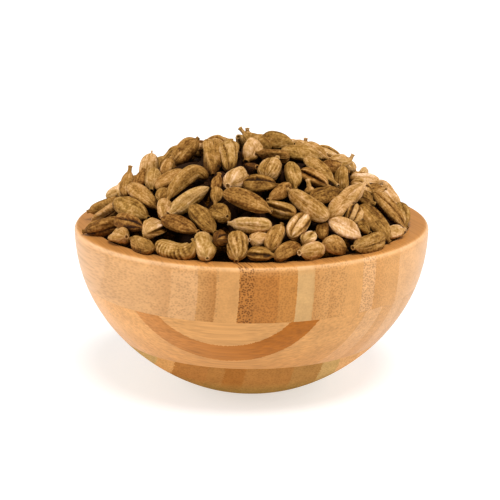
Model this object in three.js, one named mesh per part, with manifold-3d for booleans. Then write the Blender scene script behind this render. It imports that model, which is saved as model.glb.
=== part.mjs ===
// A turned bamboo bowl heaped with roasted cardamom pods.
// Millimetres, +Z up, front towards -Y. The origin is the middle of the foot, on the table.

import * as THREE from 'three';
import { mergeVertices } from 'three/addons/utils/BufferGeometryUtils.js';
import Module from 'manifold-3d';

// ---------------------------------------------------------------- driving dimensions

const BOARD = 22;                 // thickness of each of the three boards glued into the block
const BOWL = {
  height: 3 * BOARD,
  rimRadius: 70,
  footRadius: 17.5,
  wall: 8.2,                      // width of the flat lip
  floor: 11,                      // thickness of the bottom
  outerRound: 2,                  // rounding of the lip's outer edge
  innerRound: 1.4,                // rounding of the lip's inner edge
  sides: 56,
};
const GAP = 0.3;                  // clearance between the pods and the bowl

// The pods' middles lie on a dome: this high over the rim at the edge and in the middle.
// Behind the middle it falls off sooner, by the factor backFall.
const HEAP = { edge: 2, rise: 28, reach: 62, fullness: 2.35, backFall: 1.3, inside: 58.5 };
const CORE = { sides: 20, depth: 0.5 };   // the solid core ends this far under the pods' middles

const POD = { longest: 21, common: 18.5, shortest: 12.5, widest: 8, narrowest: 5.6 };
const FRONT_VIEW = THREE.MathUtils.degToRad(15);  // the front pods are described from this far above level
const LEAST_FACING = 0.35;        // where the heap turns from the front, its slope counts no further

// ---------------------------------------------------------------- the pods that show in front
// across and back: the middle of the pod in plan. slant: the way its stalk end points as seen
// from the front, in degrees from the right, anticlockwise. long and wide: as seen from the front.
// kind: its form. more.away: degrees its stalk end leans from the viewer, where it doesn't lie
// along the heap. more.bow: how far it bows to the left of its slant. more.lift: lies on top of others.

const FRONT_PODS = [
  // left
  [-45, -28, -24, 15.5, 7.9, 'plump', { lift: 1 }],
  [-40, -27, -42, 15.0, 6.8, 'plump'],
  [-57, -14, -145, 14.0, 6.4, 'ridged'],
  [-57, -25, -145, 15.0, 6.8, 'ridged'],
  [-58, 0, -160, 14.0, 6.2, 'plump', { away: 0 }],
  [-52, 9, 25, 14.0, 6.2, 'plump', { away: 0 }],
  [-47.5, -3, 84, 12.5, 6.0, 'pointed', { away: 25, lift: 2 }],
  [-51, 3, 80, 9.0, 4.2, 'shrivelled', { away: 25 }],
  [-43.5, -8, 78, 10.0, 5.4, 'slim', { away: 40 }],
  [-39.5, -1, 86, 13.0, 7.4, 'plump', { away: 15, lift: 1 }],
  [-38, -17, -100, 9.0, 6.6, 'round', { away: -50 }],
  [-30.5, -22, 28, 14.0, 6.6, 'slim'],
  [-24, -26, -139, 17.5, 6.4, 'slim', { bow: -2.2, lift: 1 }],
  [-23, -38.5, -146, 17.5, 6.6, 'slim', { bow: -0.8, lift: 1 }],
  [-32.7, -38, -85, 7.2, 5.8, 'round', { away: -50 }],
  [-33.5, -29.5, 60, 6.0, 4.8, 'round', { away: 40 }],
  [-26.5, -46.5, -18, 14.5, 6.2, 'plump'],
  [-36, -43.5, 44, 11.0, 7.4, 'split', { away: 30 }],
  [-28.4, -54.5, -6, 16.5, 6.6, 'wrinkled', { bow: -2.6 }],
  [-49.5, -37, 30, 8.0, 6.8, 'round', { away: -50 }],
  [-40, -48, 155, 12.0, 6.4, 'plump'],
  [-45, -34, -20, 12.0, 6.0, 'shrivelled'],
  [-25.5, 3, 48, 14.0, 8.0, 'plump', { away: 0, lift: 1 }],
  [-31.5, 9, 45, 14.0, 6.4, 'plump', { away: 0 }],
  [-32.5, -8, 70, 7.0, 5.2, 'round', { away: 50 }],
  // middle
  [-15.5, -13, -84, 14.0, 7.4, 'plump', { away: -45 }],
  [-8.5, -13, 90, 13.0, 6.4, 'flared', { away: 45 }],
  [0.3, -12, -112, 9.5, 6.8, 'pointed', { away: -40, lift: 1 }],
  [2, 1, 149, 13.0, 6.0, 'stalked', { away: 10, lift: 1.5 }],
  [10.5, 4, -8, 15.0, 7.6, 'plump', { away: 0, lift: 1 }],
  [19, 5, -20, 10.0, 6.2, 'plump', { away: 0 }],
  [18, -9, -8, 14.0, 6.6, 'plump', { lift: 1 }],
  [8, -12, 172, 13.0, 5.8, 'ridged'],
  [7.7, -26, 60, 10.0, 8.8, 'ribbed', { away: 45, lift: 1 }],
  [15.6, -27.5, -80, 10.0, 6.8, 'plump', { away: -40 }],
  [-6.2, -34.5, -140, 8.8, 8.2, 'round', { away: -55, lift: 1 }],
  [3.5, -35.5, -5, 13.5, 6.8, 'ridged'],
  [-12.8, -33, 80, 6.0, 4.4, 'round', { away: 30 }],
  [-13.3, -39.5, -92, 7.0, 4.8, 'pointed', { away: -30, lift: -1 }],
  [-12.2, -47, -30, 8.0, 7.2, 'round', { away: -55 }],
  [-1.3, -44.3, -22, 20.0, 7.4, 'plump', { lift: 1.5 }],
  [10.3, -45, 158, 13.0, 5.8, 'ridged'],
  [10, -39, -140, 10.0, 5.4, 'slim'],
  [20.5, -42.5, 140, 19.0, 7.0, 'plump', { lift: 1.5 }],
  [-0.5, -52.5, 174, 16.0, 6.6, 'plump', { lift: 1 }],
  [1.6, -57.5, -175, 8.0, 6.2, 'pointed', { away: -35 }],
  [-5.3, -59.5, -85, 11.5, 7.8, 'ribbed', { lift: 1 }],
  [-16.2, -57.5, -88, 13.0, 7.6, 'plump', { lift: 1 }],
  [8.8, -56.5, 62, 12.0, 6.6, 'plump'],
  [3.5, -61, 0, 9.8, 5.4, 'split'],
  [13.5, -59, 27, 13.0, 6.2, 'plump'],
  [17, -51, 60, 11.5, 6.8, 'shrivelled'],
  [-18, -48.5, -57, 14.0, 7.0, 'ribbed'],
  [-10.8, -56.5, 8, 9.0, 6.0, 'ridged'],
  // right
  [26.5, -20.5, -42, 17.0, 6.6, 'plump', { lift: 1 }],
  [24, -26, -28, 13.0, 6.2, 'split'],
  [22, -31, 100, 6.0, 4.4, 'stalked', { away: 20, lift: -1 }],
  [28, -33.5, 15, 14.0, 6.8, 'plump'],
  [32, -13.5, -10, 11.0, 6.2, 'plump'],
  [35.5, 2, 10, 11.5, 6.8, 'stalked', { away: 0, lift: 1 }],
  [31, 8, -25, 14.0, 6.4, 'shrivelled', { away: 0 }],
  [25, 5, -25, 12.0, 6.2, 'plump', { away: 0 }],
  [34.5, -17, 86, 9.0, 6.2, 'plump', { away: 45 }],
  [45, -3, -8, 13.0, 6.2, 'shrivelled', { away: 0 }],
  [43, -14.5, -25, 9.5, 5.4, 'shrivelled'],
  [43, -22.5, -28, 8.0, 5.4, 'slim'],
  [34.5, -34, 44, 18.5, 6.4, 'slim', { lift: 1 }],
  [37.8, -36, -100, 8.5, 5.8, 'shrivelled', { away: -30 }],
  [41.5, -39, -45, 6.2, 4.8, 'round', { away: -35 }],
  [34, -45.8, -24, 15.5, 6.2, 'plump', { lift: 1 }],
  [46.2, -33.8, -51, 18.0, 7.2, 'plump', { lift: 0.5 }],
  [53.2, -16.5, -49, 19.0, 6.6, 'ridged'],
  [54.5, 3, -55, 15.0, 6.2, 'plump', { away: -20 }],
  [59.5, -8.5, -76, 11.0, 5.6, 'ridged', { away: -30 }],
  [54, -30.5, 20, 7.6, 5.8, 'round', { away: 40 }],
  [43, -46, -160, 13.0, 7.4, 'ridged'],
  [30.3, -54, -28, 14.0, 7.0, 'plump', { lift: 0.5 }],
  [22, -56, -170, 11.0, 6.2, 'plump', { lift: -1 }],
  [21, -53.5, 30, 7.0, 5.2, 'shrivelled'],
  [48, -9.5, 20, 7.5, 5.6, 'ridged', { away: 40 }],
  [27, -48, 75, 9.0, 4.8, 'slim', { lift: -1 }],
];

// The rest of the dome, at the sides and the back, is filled by a golden-angle spiral of
// pods, and a place that a pod of the list already covers is passed over.
// A share of them stands up aslant, inside a circle in plan, and the rest lies down.
const FILL = {
  places: 140,
  spread: 0.47,
  clear: 7.4,
  uprightShare: 0.18,
  uprightInside: 42,
  stand: 0.5,
  tilt: 0.35,
  bow: 1.6,
  unevenness: 1.2,
  seed: 4711,
};

// How the pods come to rest against each other, the core and the bowl. Pods of the list keep the
// way they point as seen from the front, and lean more freely. The others turn more easily.
const REST = {
  steps: 90,
  snug: 0.95,
  pull: 0.15,
  home: 0.1,
  share: 0.4,
  front: { steady: 0.12, leans: 0.7 },
  filled: { steady: 0.036, leans: 0 },
};

// Form of each kind: how strongly the section is three-cornered, how far the ends taper, how
// much of the length the stalk's stub takes, and how uneven it is.
const KINDS = {
  plump: { corner: 0.07, taper: 0.35, stub: 0.05, uneven: 0.04 },
  ridged: { corner: 0.2, taper: 0.5, stub: 0.07, uneven: 0.05 },
  slim: { corner: 0.06, taper: 0.3, stub: 0.05, uneven: 0.05 },
  round: { corner: 0.05, taper: 0.25, stub: 0.06, uneven: 0.04 },
  ribbed: { corner: 0.08, taper: 0.3, stub: 0.05, uneven: 0.04 },
  split: { corner: 0.16, taper: 0.35, stub: 0.04, uneven: 0.06 },
  wrinkled: { corner: 0.05, taper: 0.25, stub: 0.04, uneven: 0.07 },
  shrivelled: { corner: 0.16, taper: 0.5, stub: 0.06, uneven: 0.13 },
  pointed: { corner: 0.1, taper: 0.8, stub: 0.14, uneven: 0.04 },
  stalked: { corner: 0.08, taper: 0.5, stub: 0.2, uneven: 0.04 },
  flared: { corner: 0.12, taper: 0.1, stub: 0.03, uneven: 0.08 },
};
const COMMON_KINDS = ['plump', 'plump', 'ridged', 'slim', 'plump', 'ribbed', 'shrivelled', 'split'];

// ---------------------------------------------------------------- helpers

const wasm = await Module();
wasm.setup();

function solidOf(geometry) {
  geometry.deleteAttribute('normal');
  geometry.deleteAttribute('uv');
  const merged = mergeVertices(geometry, 1e-4);
  return new wasm.Manifold(new wasm.Mesh({
    numProp: 3,
    vertProperties: new Float32Array(merged.attributes.position.array),
    triVerts: new Uint32Array(merged.index.array),
  }));
}

function geometryOf(solid) {
  const mesh = solid.getMesh();
  const geometry = new THREE.BufferGeometry();
  geometry.setAttribute('position', new THREE.BufferAttribute(new Float32Array(mesh.vertProperties), 3));
  geometry.setIndex(new THREE.BufferAttribute(new Uint32Array(mesh.triVerts), 1));
  geometry.computeVertexNormals();
  return geometry;
}

// Turns a profile of [radius, height] points about the Z axis.
function turned(profile, sides) {
  const points = profile.map(([radius, height]) => new THREE.Vector2(radius, height));
  return new THREE.LatheGeometry(points, sides).rotateX(Math.PI / 2);
}

// A repeatable stream of numbers from 0 to 1.
function dice(seed) {
  let state = seed;
  return () => {
    state = (state * 16807) % 2147483647;
    return state / 2147483647;
  };
}

// ---------------------------------------------------------------- the bowl

function outerRadius(height) {
  const down = 1 - height / BOWL.height;
  return BOWL.footRadius + (BOWL.rimRadius - BOWL.footRadius) * Math.pow(1 - Math.pow(down, 2.2), 1 / 1.38);
}

function innerRadius(height) {
  const down = (BOWL.height - height) / (BOWL.height - BOWL.floor);
  return (BOWL.rimRadius - BOWL.wall) * Math.pow(1 - Math.pow(down, 2.2), 1 / 2.2);
}

const OUTER_PLACES = [0, 0.012, 0.045, 0.1, 0.17, 0.26, 0.37, 0.5, 0.65, 0.82];  // shares of the height, upwards
const INNER_PLACES = [0.35, 0.7, 0.93];                                          // shares of the depth, downwards

function bowlGeometry() {
  const profile = [[0, 0]];
  for (const share of OUTER_PLACES) {
    profile.push([outerRadius(share * BOWL.height), share * BOWL.height]);
  }
  // the lip: a rounded outer edge, a flat, and a rounded inner edge
  for (const turn of [0, 30, 60, 90]) {
    const angle = THREE.MathUtils.degToRad(turn);
    profile.push([
      BOWL.rimRadius - BOWL.outerRound * (1 - Math.cos(angle)),
      BOWL.height - BOWL.outerRound * (1 - Math.sin(angle)),
    ]);
  }
  for (const turn of [90, 135, 180]) {
    const angle = THREE.MathUtils.degToRad(turn);
    profile.push([
      BOWL.rimRadius - BOWL.wall + BOWL.innerRound * (1 + Math.cos(angle)),
      BOWL.height - BOWL.innerRound * (1 - Math.sin(angle)),
    ]);
  }
  for (const share of INNER_PLACES) {
    const height = BOWL.height - share * (BOWL.height - BOWL.floor);
    profile.push([innerRadius(height), height]);
  }
  profile.push([0, BOWL.floor]);
  return turned(profile, BOWL.sides);
}

// The room that the pods leave to the bowl: the wall and lip, grown by the gap.
function bowlRoomGeometry() {
  const wide = BOWL.rimRadius + 20;
  const mouth = BOWL.rimRadius - BOWL.wall;
  const top = BOWL.height + GAP;
  const profile = [[0, -10], [wide, -10], [wide, top], [mouth + BOWL.innerRound, top]];
  profile.push([mouth + 0.3 * BOWL.innerRound, BOWL.height - 0.3 * BOWL.innerRound + GAP]);
  profile.push([mouth - GAP, BOWL.height - BOWL.innerRound]);
  for (const share of INNER_PLACES) {
    const height = BOWL.height - share * (BOWL.height - BOWL.floor);
    profile.push([innerRadius(height) - 1.2 * GAP, height + 1.2 * GAP]);
  }
  profile.push([0, BOWL.floor + GAP]);
  return turned(profile, BOWL.sides);
}

// ---------------------------------------------------------------- the heap's dome

// How far out a place counts on the dome.
function domeRadius(across, back) {
  return Math.hypot(across, back > 0 ? HEAP.backFall * back : back);
}

function domeHeight(radius) {
  const out = Math.min(radius / HEAP.reach, 1);
  return BOWL.height + HEAP.edge + HEAP.rise * (1 - Math.pow(out, HEAP.fullness));
}

function domeSlope(radius) {
  const out = Math.min(radius / HEAP.reach, 1);
  return (HEAP.rise * HEAP.fullness * Math.pow(out, HEAP.fullness - 1)) / HEAP.reach;
}

// The direction that points straight out of the dome over a place in plan.
function domeNormal(across, back) {
  const radius = domeRadius(across, back);
  const slope = radius > 0 ? domeSlope(radius) / radius : 0;
  const fall = back > 0 ? HEAP.backFall : 1;
  return new THREE.Vector3(across * slope, back * fall * fall * slope, 1).normalize();
}

function domePoint(across, back, lift) {
  const foot = new THREE.Vector3(across, back, domeHeight(domeRadius(across, back)));
  return foot.addScaledVector(domeNormal(across, back), lift);
}

// ---------------------------------------------------------------- laying the pods

const RIGHT = new THREE.Vector3(1, 0, 0);
const UP = new THREE.Vector3(0, Math.sin(FRONT_VIEW), Math.cos(FRONT_VIEW));
const AWAY = new THREE.Vector3(0, Math.cos(FRONT_VIEW), -Math.sin(FRONT_VIEW));

// A pod is a rod with round ends: tail and stalk are the middles of the round ends.
function podAt(middle, along, length, width, kind, bow, outward, free, rest) {
  const half = Math.max(0.4, (length - width) / 2);
  return {
    tail: middle.clone().addScaledVector(along, -half),
    stalk: middle.clone().addScaledVector(along, half),
    home: middle.clone(),
    reach: along.clone().multiplyScalar(half),
    rest,
    rod: 2 * half,
    radius: width / 2,
    kind,
    bow,
    outward,
    free,
  };
}

function frontPod([across, back, slant, long, wide, kind, more = {}]) {
  const outward = domeNormal(across, back);
  const turn = THREE.MathUtils.degToRad(slant);
  const seen = RIGHT.clone().multiplyScalar(Math.cos(turn)).addScaledVector(UP, Math.sin(turn));
  // a pod that lies along the heap leans as far as the heap slopes, and no pod is over-long
  const facing = Math.max(-AWAY.dot(outward), LEAST_FACING);
  const lean = more.away === undefined
    ? Math.atan(seen.dot(outward) / facing)
    : THREE.MathUtils.degToRad(more.away);
  const most = Math.acos(Math.min(1, long / POD.longest));
  const away = THREE.MathUtils.clamp(lean, -most, most);
  const along = seen.multiplyScalar(Math.cos(away)).addScaledVector(AWAY, Math.sin(away));
  const middle = domePoint(across, back, more.lift ?? 0);
  // along the front of the rim the pods lie inside the lip, and it hides their lower sides
  const radius = Math.hypot(across, back);
  const tuck = Math.max(0, radius - HEAP.inside) * Math.max(0, -back / radius);
  middle.addScaledVector(AWAY, tuck);
  return podAt(middle, along, long / Math.cos(away), wide, kind, more.bow ?? 0, outward, AWAY, REST.front);
}

function fillPods(front) {
  const pods = [];
  const golden = Math.PI * (3 - Math.sqrt(5));
  const roll = dice(FILL.seed);
  for (let place = 0; place < FILL.places; place += 1) {
    const radius = (HEAP.inside + 1) * Math.pow((place + 0.5) / FILL.places, FILL.spread);
    const across = radius * Math.cos(place * golden);
    const back = radius * Math.sin(place * golden);
    const heading = 2 * Math.PI * roll();
    const upright = roll() < FILL.uprightShare && radius < FILL.uprightInside;
    const tilt = FILL.tilt * (roll() - 0.5);
    const stand = upright ? FILL.stand : tilt;
    const length = POD.shortest + (POD.common - POD.shortest) * roll();
    const width = POD.narrowest + (POD.widest - POD.narrowest) * roll();
    const kind = COMMON_KINDS[Math.floor(COMMON_KINDS.length * roll())];
    const bow = FILL.bow * (roll() - 0.5);
    const middle = domePoint(across, back, FILL.unevenness * (roll() - 0.5));
    if (front.some((pod) => nearestOnRod(middle, pod) < FILL.clear)) continue;
    const outward = domeNormal(across, back);
    const level = new THREE.Vector3(Math.cos(heading), Math.sin(heading), 0);
    const along = level.addScaledVector(outward, -level.dot(outward)).normalize();
    along.multiplyScalar(Math.cos(stand)).addScaledVector(outward, Math.sin(stand));
    pods.push(podAt(middle, along, length, width, kind, bow, outward, outward, REST.filled));
  }
  return pods;
}

function nearestOnRod(point, pod) {
  const along = pod.stalk.clone().sub(pod.tail);
  const share = THREE.MathUtils.clamp(point.clone().sub(pod.tail).dot(along) / along.lengthSq(), 0, 1);
  return pod.tail.clone().addScaledVector(along, share).distanceTo(point);
}

// ---------------------------------------------------------------- letting the pods come to rest

// Pushes a rod at a share of its length from tail to stalk.
function push(moves, share, direction, amount) {
  const spread = (1 - share) ** 2 + share ** 2;   // so that the pushed spot moves by the amount
  moves.tail.addScaledVector(direction, (amount * (1 - share)) / spread);
  moves.stalk.addScaledVector(direction, (amount * share) / spread);
}

function partTwo(one, other, oneMoves, otherMoves) {
  const d1 = one.stalk.clone().sub(one.tail);
  const d2 = other.stalk.clone().sub(other.tail);
  const gap = one.tail.clone().sub(other.tail);
  const reach = REST.snug * (one.radius + other.radius);
  if (gap.length() > reach + one.rod + other.rod) return;
  const a = d1.lengthSq();
  const e = d2.lengthSq();
  const b = d1.dot(d2);
  const c = d1.dot(gap);
  const f = d2.dot(gap);
  const clamp = THREE.MathUtils.clamp;
  let s = clamp((b * f - c * e) / Math.max(a * e - b * b, 1e-9), 0, 1);
  const free = (b * s + f) / e;
  const t = clamp(free, 0, 1);
  if (t !== free) s = clamp((b * t - c) / a, 0, 1);
  const between = gap.addScaledVector(d1, s).addScaledVector(d2, -t);
  const distance = between.length();
  if (distance >= reach || distance < 1e-6) return;
  between.divideScalar(distance);
  push(oneMoves, s, between, (reach - distance) / 2);
  push(otherMoves, t, between, (distance - reach) / 2);
}

// Lifts a pod whose middle has sunk below the dome. Its ends may dip between the others.
function keepOnDome(pod, moves) {
  const middle = pod.tail.clone().add(pod.stalk).multiplyScalar(0.5);
  const outward = domeNormal(middle.x, middle.y);
  const sunk = (domeHeight(domeRadius(middle.x, middle.y)) - middle.z) * outward.z;
  if (sunk > 0) push(moves, 0.5, outward, sunk);
}

// Pushes a round end off the lip and the wall.
function keepOffBowl(end, pod, move) {
  const radius = Math.hypot(end.x, end.y);
  const over = end.z - BOWL.height;
  const inside = BOWL.rimRadius - BOWL.wall - radius;
  const off = Math.hypot(Math.max(over, 0), Math.max(inside, 0));
  const short = REST.snug * pod.radius - off;
  if (short <= 0 || radius < 1) return;
  const rise = off > 0 ? Math.max(over, 0) / off : 1;
  const inward = off > 0 ? Math.max(inside, 0) / off : 0;
  move.x -= (short * inward * end.x) / radius;
  move.y -= (short * inward * end.y) / radius;
  move.z += short * rise;
}

function settle(pods) {
  for (let step = 0; step < REST.steps; step += 1) {
    const moves = pods.map(() => ({ tail: new THREE.Vector3(), stalk: new THREE.Vector3() }));
    for (let i = 0; i < pods.length; i += 1) {
      for (let j = i + 1; j < pods.length; j += 1) {
        partTwo(pods[i], pods[j], moves[i], moves[j]);
      }
      keepOnDome(pods[i], moves[i]);
      keepOffBowl(pods[i].tail, pods[i], moves[i].tail);
      keepOffBowl(pods[i].stalk, pods[i], moves[i].stalk);
    }
    pods.forEach((pod, i) => {
      const middle = pod.tail.clone().add(pod.stalk).multiplyScalar(0.5);
      // a pod keeps its place but for one way in which it is free to shift
      const drift = pod.home.clone().sub(middle);
      drift.addScaledVector(pod.free, -drift.dot(pod.free)).multiplyScalar(REST.home);
      drift.addScaledVector(pod.outward, -REST.pull * (1 - step / REST.steps));
      // and it turns back to the way it pointed
      const back = pod.stalk.clone().sub(pod.tail).multiplyScalar(-0.5).add(pod.reach);
      back.addScaledVector(pod.free, -pod.rest.leans * back.dot(pod.free)).multiplyScalar(pod.rest.steady);
      pod.tail.addScaledVector(moves[i].tail, REST.share).add(drift).sub(back);
      pod.stalk.addScaledVector(moves[i].stalk, REST.share).add(drift).add(back);
      // the rod keeps its length
      const centre = pod.tail.clone().add(pod.stalk).multiplyScalar(0.5);
      const half = pod.stalk.clone().sub(pod.tail).setLength(pod.rod / 2);
      pod.tail.copy(centre).sub(half);
      pod.stalk.copy(centre).add(half);
    });
  }
  return pods;
}

// ---------------------------------------------------------------- one pod as a faceted solid

const FACES_ROUND = 6;
const FATTEN = 1.08;              // makes up for what six flat sides cut off a round section

// Where the rings of corners stand along a pod, from its tail to its stalk.
function placesAlong(length) {
  if (length < 9) return [0.2, 0.78];
  return length < 15 ? [0.1, 0.45, 0.85] : [0.06, 0.3, 0.66, 0.92];
}

function podGeometry(pod, index) {
  const form = KINDS[pod.kind];
  const roll = dice(1000 + 37 * index);
  const along = pod.stalk.clone().sub(pod.tail).normalize();
  const side = pod.outward.clone().cross(along).normalize();
  const out = along.clone().cross(side);
  const start = pod.tail.clone().addScaledVector(along, -pod.radius);
  const length = pod.rod + 2 * pod.radius;
  const body = length * (1 - form.stub);
  const firstTurn = (Math.PI / 3) * Math.floor(2 * roll()) + 0.4 * (roll() - 0.5);
  const vertices = [start.clone()];
  const places = placesAlong(length);
  for (const share of places) {
    const swell = Math.sqrt(1 - Math.abs(2 * share - 1) ** 3);
    const narrow = 1 - form.taper * share ** 3;
    const bowed = pod.bow * (4 * share * (1 - share) - 0.6);
    const middle = start.clone().addScaledVector(along, share * body).addScaledVector(side, bowed);
    for (let face = 0; face < FACES_ROUND; face += 1) {
      const angle = firstTurn + (2 * Math.PI * face) / FACES_ROUND;
      const corner = 1 + form.corner * (face % 2 === 0 ? 1 : -1);
      const rough = 1 + form.uneven * (2 * roll() - 1);
      const reach = FATTEN * pod.radius * swell * narrow * corner * rough;
      vertices.push(middle.clone()
        .addScaledVector(side, reach * Math.cos(angle))
        .addScaledVector(out, reach * Math.sin(angle)));
    }
  }
  vertices.push(start.clone().addScaledVector(along, length).addScaledVector(side, -0.6 * pod.bow));

  const last = vertices.length - 1;
  const index3 = [];
  const ring = (row, face) => 1 + row * FACES_ROUND + (face % FACES_ROUND);
  for (let face = 0; face < FACES_ROUND; face += 1) {
    index3.push(0, ring(0, face + 1), ring(0, face));
    for (let row = 0; row + 1 < places.length; row += 1) {
      index3.push(ring(row, face), ring(row, face + 1), ring(row + 1, face + 1));
      index3.push(ring(row, face), ring(row + 1, face + 1), ring(row + 1, face));
    }
    const end = places.length - 1;
    index3.push(last, ring(end, face), ring(end, face + 1));
  }
  const geometry = new THREE.BufferGeometry();
  geometry.setAttribute('position', new THREE.Float32BufferAttribute(vertices.flatMap((v) => v.toArray()), 3));
  geometry.setIndex(index3);
  return geometry;
}

// ---------------------------------------------------------------- the heap as one solid

function coreGeometry() {
  const profile = [[0, BOWL.floor + 2 * GAP]];
  for (const share of [0.97, 0.85, 0.65, 0.35]) {
    const height = BOWL.height - share * (BOWL.height - BOWL.floor);
    profile.push([innerRadius(height) - 2 * GAP, height + 2 * GAP]);
  }
  for (const share of [0.975, 0.8, 0.5]) {
    const radius = share * HEAP.reach;
    profile.push([radius, domeHeight(radius) - CORE.depth]);
  }
  profile.push([0, domeHeight(0) - CORE.depth]);
  const core = turned(profile, CORE.sides);
  const places = core.attributes.position;
  for (let i = 0; i < places.count; i += 1) {
    if (places.getZ(i) > BOWL.height) {
      places.setZ(i, domeHeight(domeRadius(places.getX(i), places.getY(i))) - CORE.depth);
    }
  }
  return core;
}

function heapGeometry() {
  const front = FRONT_PODS.map(frontPod);
  const pods = settle([...front, ...fillPods(front)]);
  let heap = solidOf(coreGeometry());
  pods.forEach((pod, index) => {
    heap = heap.add(solidOf(podGeometry(pod, index)));
  });
  heap = heap.subtract(solidOf(bowlRoomGeometry()));
  // sealed hollows are filled and loose scraps dropped: only the outermost skin is kept
  const skins = heap.decompose().sort((one, other) => other.volume() - one.volume());
  return geometryOf(skins[0]);
}

// ---------------------------------------------------------------- the part

const bamboo = new THREE.MeshStandardMaterial({ color: 0xd7a56b, roughness: 0.42, metalness: 0 });
const podSkin = new THREE.MeshStandardMaterial({ color: 0x9f753f, roughness: 0.8, metalness: 0 });

const bowl = new THREE.Mesh(bowlGeometry(), bamboo);
bowl.name = 'bowl';

const pods = new THREE.Mesh(heapGeometry(), podSkin);
pods.name = 'cardamom_pods';

const part = new THREE.Group();
part.add(bowl, pods);

export default part;
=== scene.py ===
# %% [markdown]
# # A bowl of roasted cardamom pods
#
# The real thing is a small bowl, turned from three glued boards of laminated bamboo and heaped
# with whole cardamom pods that were roasted brown. The imported CAD model has its sizes and its
# main forms: a plain bowl and a coarse heap. It is loaded first, as a frame that never moves.
# %% Load the frame
import math
from dataclasses import dataclass, field, replace

import bpy
import numpy as np
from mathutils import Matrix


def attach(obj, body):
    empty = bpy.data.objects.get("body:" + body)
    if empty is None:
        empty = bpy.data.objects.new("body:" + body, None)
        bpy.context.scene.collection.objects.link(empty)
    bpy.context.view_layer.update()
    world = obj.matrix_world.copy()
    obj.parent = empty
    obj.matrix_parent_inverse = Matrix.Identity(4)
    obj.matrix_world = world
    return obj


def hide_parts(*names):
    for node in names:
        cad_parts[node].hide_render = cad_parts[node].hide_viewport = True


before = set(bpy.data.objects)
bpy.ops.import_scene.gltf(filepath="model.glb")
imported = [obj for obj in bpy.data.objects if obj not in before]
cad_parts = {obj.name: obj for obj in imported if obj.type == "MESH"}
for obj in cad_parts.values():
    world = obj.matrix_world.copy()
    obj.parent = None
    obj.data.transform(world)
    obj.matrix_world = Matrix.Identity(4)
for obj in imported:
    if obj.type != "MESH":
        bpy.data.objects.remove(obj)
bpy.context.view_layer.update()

print("CAD nodes:", sorted(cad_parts))

# %% [markdown]
# Blender measures in metres, and a bowl is easier to think of in millimetres. All shapes here
# are worked out in millimetres and made smaller once, when a mesh is built. `from_pydata` takes
# whole lists of points and faces, which is the quickest way to make a mesh that a formula gives.
# %% A mesh from points and faces
MM = 0.001


def mesh_piece(name, points, faces):
    """A smooth mesh object from points in millimetres."""
    mesh = bpy.data.meshes.new(name)
    mesh.from_pydata((np.asarray(points) * MM).tolist(), [], faces)
    mesh.validate()
    mesh.shade_smooth()
    piece = bpy.data.objects.new(name, mesh)
    bpy.context.scene.collection.objects.link(piece)
    print(f"{name}: {len(mesh.vertices)} points, {sum(len(f) - 2 for f in faces)} triangles")
    return piece


# %% [markdown]
# Materials are nets of nodes. Writing every node and link in full would bury what a finish is
# made of, so short helpers do it: one adds any node and joins or sets its inputs, one adds a
# calculation, and the others add what these materials need again and again. Colours are named as
# a painter would mix them, in sRGB from 0 to 255, and Blender's shaders want them linear, so one
# more helper turns the first into the second.
# %% Helpers for node trees
def put(tree, kind, inputs=None, **settings):
    """Adds a node. An input is a number, a colour, or another node's output to join."""
    node = tree.nodes.new(kind)
    for key, value in settings.items():
        setattr(node, key, value)
    for key, value in (inputs or {}).items():
        if isinstance(value, bpy.types.NodeSocket):
            tree.links.new(value, node.inputs[key])
        else:
            node.inputs[key].default_value = value
    return node


def calc(tree, operation, *values):
    """The result of one Math node."""
    return put(tree, "ShaderNodeMath", dict(enumerate(values)), operation=operation).outputs[0]


def map_range(tree, value, start, end, low=0, high=1):
    """Carries a value from between start and end to between low and high, and no further."""
    inputs = {0: value, 1: start, 2: end, 3: low, 4: high}
    return put(tree, "ShaderNodeMapRange", inputs).outputs[0]


def noise(tree, place, scale, detail):
    """Cloudy values about 0.5."""
    inputs = {"Vector": place, "Scale": scale, "Detail": detail}
    return put(tree, "ShaderNodeTexNoise", inputs).outputs["Fac"]


def swayed(tree, base, cloud, amount):
    """A value pushed up and down by noise."""
    return calc(tree, "MULTIPLY_ADD", calc(tree, "SUBTRACT", cloud, 0.5), amount, base)


def drawn_out(tree, place, *shares):
    """A place squeezed along x, y or z, which draws a texture out that way."""
    inputs = {0: place, 1: shares}
    return put(tree, "ShaderNodeVectorMath", inputs, operation="MULTIPLY").outputs[0]


# %% Helpers for colours
def blend_colours(tree, share, low, high, how="MIX"):
    """One colour over another. The Mix node keeps its colours in inputs 6 and 7."""
    node = put(tree, "ShaderNodeMix", {0: share, 6: low, 7: high}, data_type="RGBA", blend_type=how)
    return node.outputs[2]


def linear(*srgb):
    """An sRGB colour from 0 to 255 as the linear one that shaders use."""
    steps = [value / 255 for value in srgb]
    return (*(c / 12.92 if c <= 0.04045 else ((c + 0.055) / 1.055) ** 2.4 for c in steps), 1)


def colour_ramp(tree, share, stops, kind="LINEAR"):
    """A Color Ramp node from (place, colour) pairs."""
    node = put(tree, "ShaderNodeValToRGB", {"Fac": share})
    ramp = node.color_ramp
    ramp.interpolation = kind
    while len(ramp.elements) < len(stops):
        ramp.elements.new(1)
    for element, (place, colour) in zip(ramp.elements, stops):
        element.position = place
        element.color = colour
    return node.outputs["Color"]


# %% [markdown]
# ## The camera
#
# The bowl is seen from a little above its lip, from far enough that it looks nearly flat. A long
# lens at 700 mm does that. The view is tilted down by 15 degrees, at a point 53.8 mm over the
# table. The bowl's axis is a hair right of the middle of the square picture, which the lens
# shift gives without turning the camera.
# %% Place the camera
VIEW_DOWN = math.radians(15.03)
VIEW_DISTANCE = 700
VIEW_HEIGHT = 53.8
LENS = 126.4
PICTURE = 500
AXIS_RIGHT_OF_MIDDLE = 1.5 / PICTURE

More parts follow.
